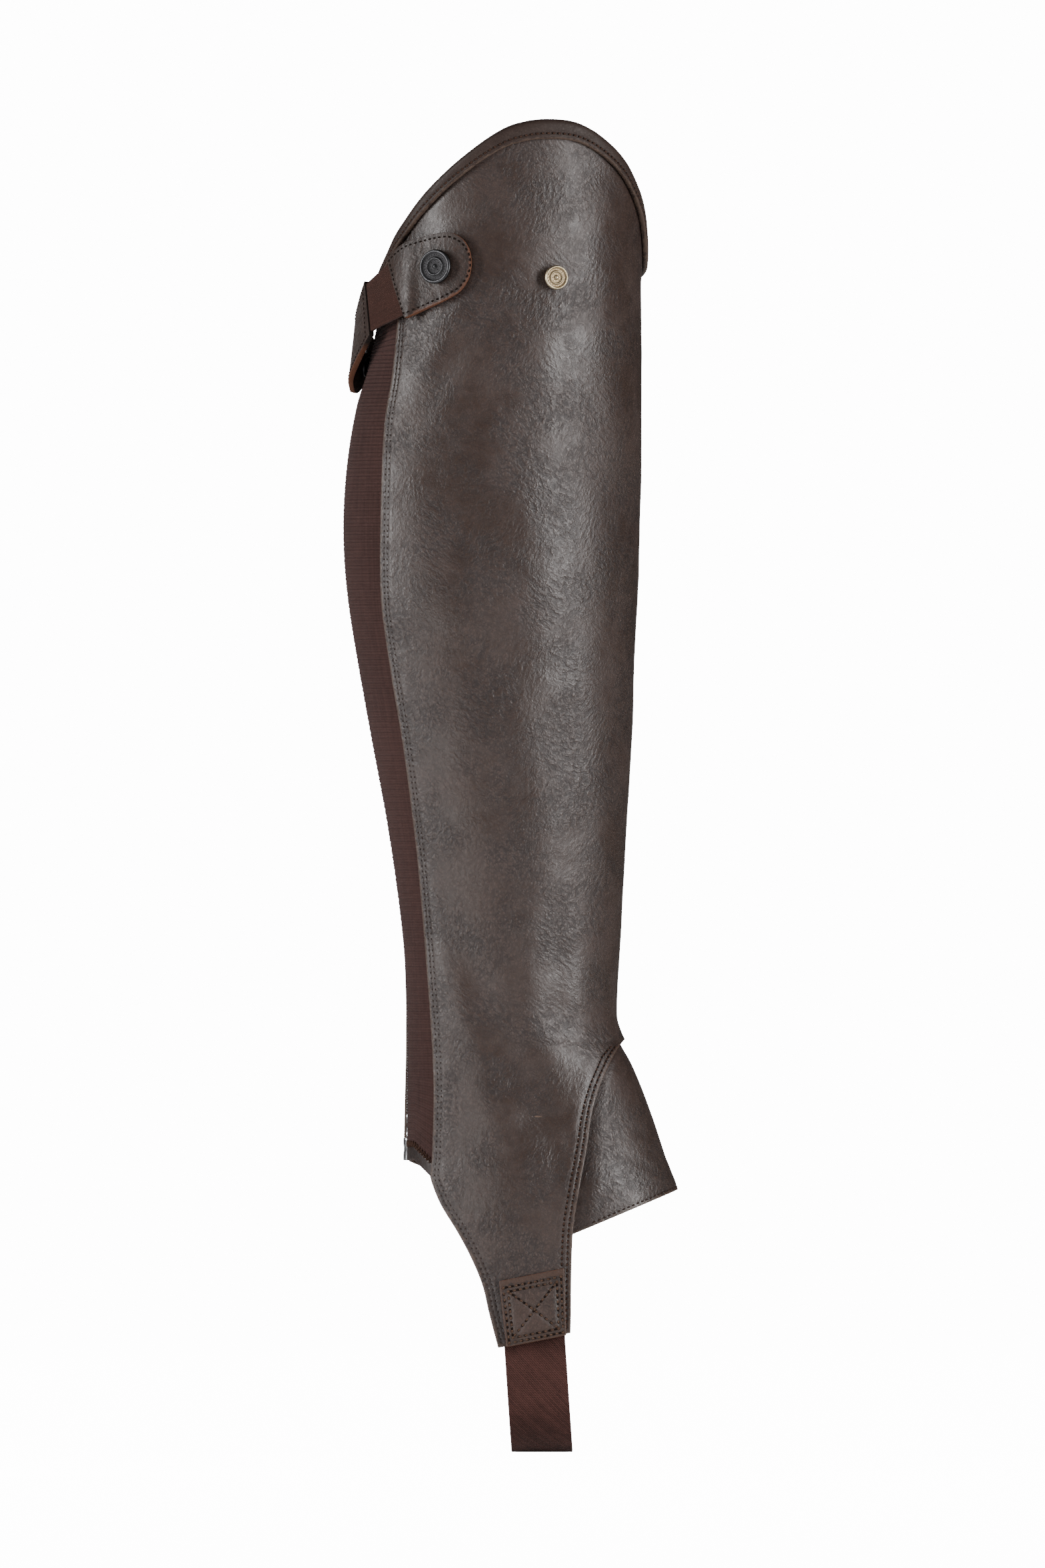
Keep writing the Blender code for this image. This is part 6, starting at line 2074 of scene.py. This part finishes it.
@dataclass
class Studio:
    """A plain pale floor, soft lights and a long lens level with the middle of the photo.

    The photo's scale holds at the outer side of the leg, which is nearer to the camera than the leg's middle.
    """

    scale: float = 0.278
    photo_middle: tuple[float, float] = (784.0, 1176.0)
    photo_origin: tuple[float, float] = (745.0, 760.0)
    photo_high: float = 2352.0
    distance: float = 16.0
    near: float = 0.045
    far: float = 60.0
    sensor: float = 36.0
    aim: tuple[float, float, float] = (0.01, 0.0, -0.1)
    floor_at: float = -0.3953
    floor_half: float = 30.0
    floor_dark: Color = (0.86, 0.86, 0.86)
    floor_light: Color = (0.9, 0.9, 0.9)
    # How bright the world is as light, and how bright it and the floor are where the camera sees them.
    world_light: float = 0.055
    white: float = 14.0
    # name, azimuth from the camera to its left, height, distance, width, tall, power
    lights: tuple[tuple[str, float, float, float, float, float, float], ...] = (
        ("left_softbox", 68.0, 0.1, 2.0, 0.36, 2.1, 43.0),
        ("right_softbox", -52.0, 0.1, 2.0, 0.34, 2.1, 52.0),
        ("front_softbox", 20.0, 1.3, 1.9, 0.7, 0.6, 3.0),
        ("low_softbox", 30.0, -0.28, 0.62, 0.24, 0.16, 0.5),
        ("back_softbox", 176.0, 0.9, 2.4, 1.4, 1.4, 14.0),
    )

    def camera(self) -> None:
        """The camera at the photo's angle."""
        data = bpy.data.cameras.new("camera")
        camera = bpy.data.objects.new("camera", data)
        bpy.context.scene.collection.objects.link(camera)
        across = (self.photo_middle[0] - self.photo_origin[0]) * self.scale * MM
        up = (self.photo_origin[1] - self.photo_middle[1]) * self.scale * MM
        camera.location = (across, -self.distance, up)
        camera.rotation_euler = (math.pi / 2, 0, 0)
        data.sensor_width = self.sensor
        data.lens = self.sensor * (self.distance - self.near) / (self.photo_high * self.scale * MM)
        data.clip_end = self.far
        bpy.context.scene.camera = camera

    def light(self, name: str, azimuth: float, height: float, away: float, width: float, tall: float,
              power: float) -> None:
        """One soft box that faces the middle of the half chap."""
        data = bpy.data.lights.new(name, "AREA")
        data.shape = "RECTANGLE"
        data.size, data.size_y, data.energy = width, tall, power
        thing = bpy.data.objects.new(name, data)
        bpy.context.scene.collection.objects.link(thing)
        turn = math.radians(azimuth)
        thing.location = (-away * math.sin(turn), -away * math.cos(turn), height)
        aim = Vector(self.aim) - thing.location
        thing.rotation_euler = aim.to_track_quat("-Z", "Y").to_euler()

    def floor(self) -> None:
        """A plain pale floor just under the stirrup."""
        half = self.floor_half
        mesh = bpy.data.meshes.new("floor")
        square = ((-half, -half), (half, -half), (half, half), (-half, half))
        mesh.from_pydata([(*corner, self.floor_at) for corner in square], [], [(0, 1, 2, 3)])
        dress = Dresser("floor_pale")
        tone = dress.graph.blend(dress.graph.noise(dress.place, 3.0), self.floor_dark, self.floor_light)
        material = dress.finish(tone, 0.9, Specular_IOR_Level=0.1)
        seen = dress.graph.add("ShaderNodeLightPath").outputs["Is Camera Ray"]
        dress.graph.feed(dress.shader.inputs["Emission Color"], WHITE)
        dress.graph.feed(dress.shader.inputs["Emission Strength"], dress.graph.times(seen, self.white))
        link("floor", mesh, material)

    def world(self) -> None:
        """White all round where the camera looks, and a softer grey as light."""
        world = bpy.data.worlds.new("studio")
        bpy.context.scene.world = world
        world.use_nodes = True
        graph = Graph(world.node_tree)
        nodes = world.node_tree.nodes
        seen = graph.add("ShaderNodeLightPath").outputs["Is Camera Ray"]
        sources = {"Value": seen, "To Min": self.world_light, "To Max": self.white}
        strength = graph.add("ShaderNodeMapRange", sources).outputs[0]
        graph.feed(nodes["Background"].inputs["Color"], WHITE)
        graph.feed(nodes["Background"].inputs["Strength"], strength)

    def build(self) -> None:
        """Sets up the studio."""
        self.camera()
        for light in self.lights:
            self.light(*light)
        self.floor()
        self.world()


def corners(box: tuple[Vector, Vector]) -> list[list[float]]:
    """A box's lowest and highest corner as plain numbers."""
    return [[float(part) for part in corner] for corner in box]


def main() -> None:
    """Builds every sub-assembly in order."""
    logging.basicConfig(level=logging.INFO, format="%(name)s: %(message)s")
    finishes = Finishes()
    sewing = Sewing()
    outer_tape, inner_tape = Zip().build(finishes)
    panel = MainPanel()
    panel.build(finishes, sewing, inner_tape)
    InstepPiece(panel).build(finishes, sewing)
    Binding().build(finishes, sewing)
    Gusset().build(finishes, sewing, outer_tape)
    strap = Strap()
    strap.build(finishes, sewing)
    Fasteners(strap, panel).build(finishes)
    Stirrup().build(finishes, sewing)
    Studio().build()


if __name__ == "__main__":
    main()
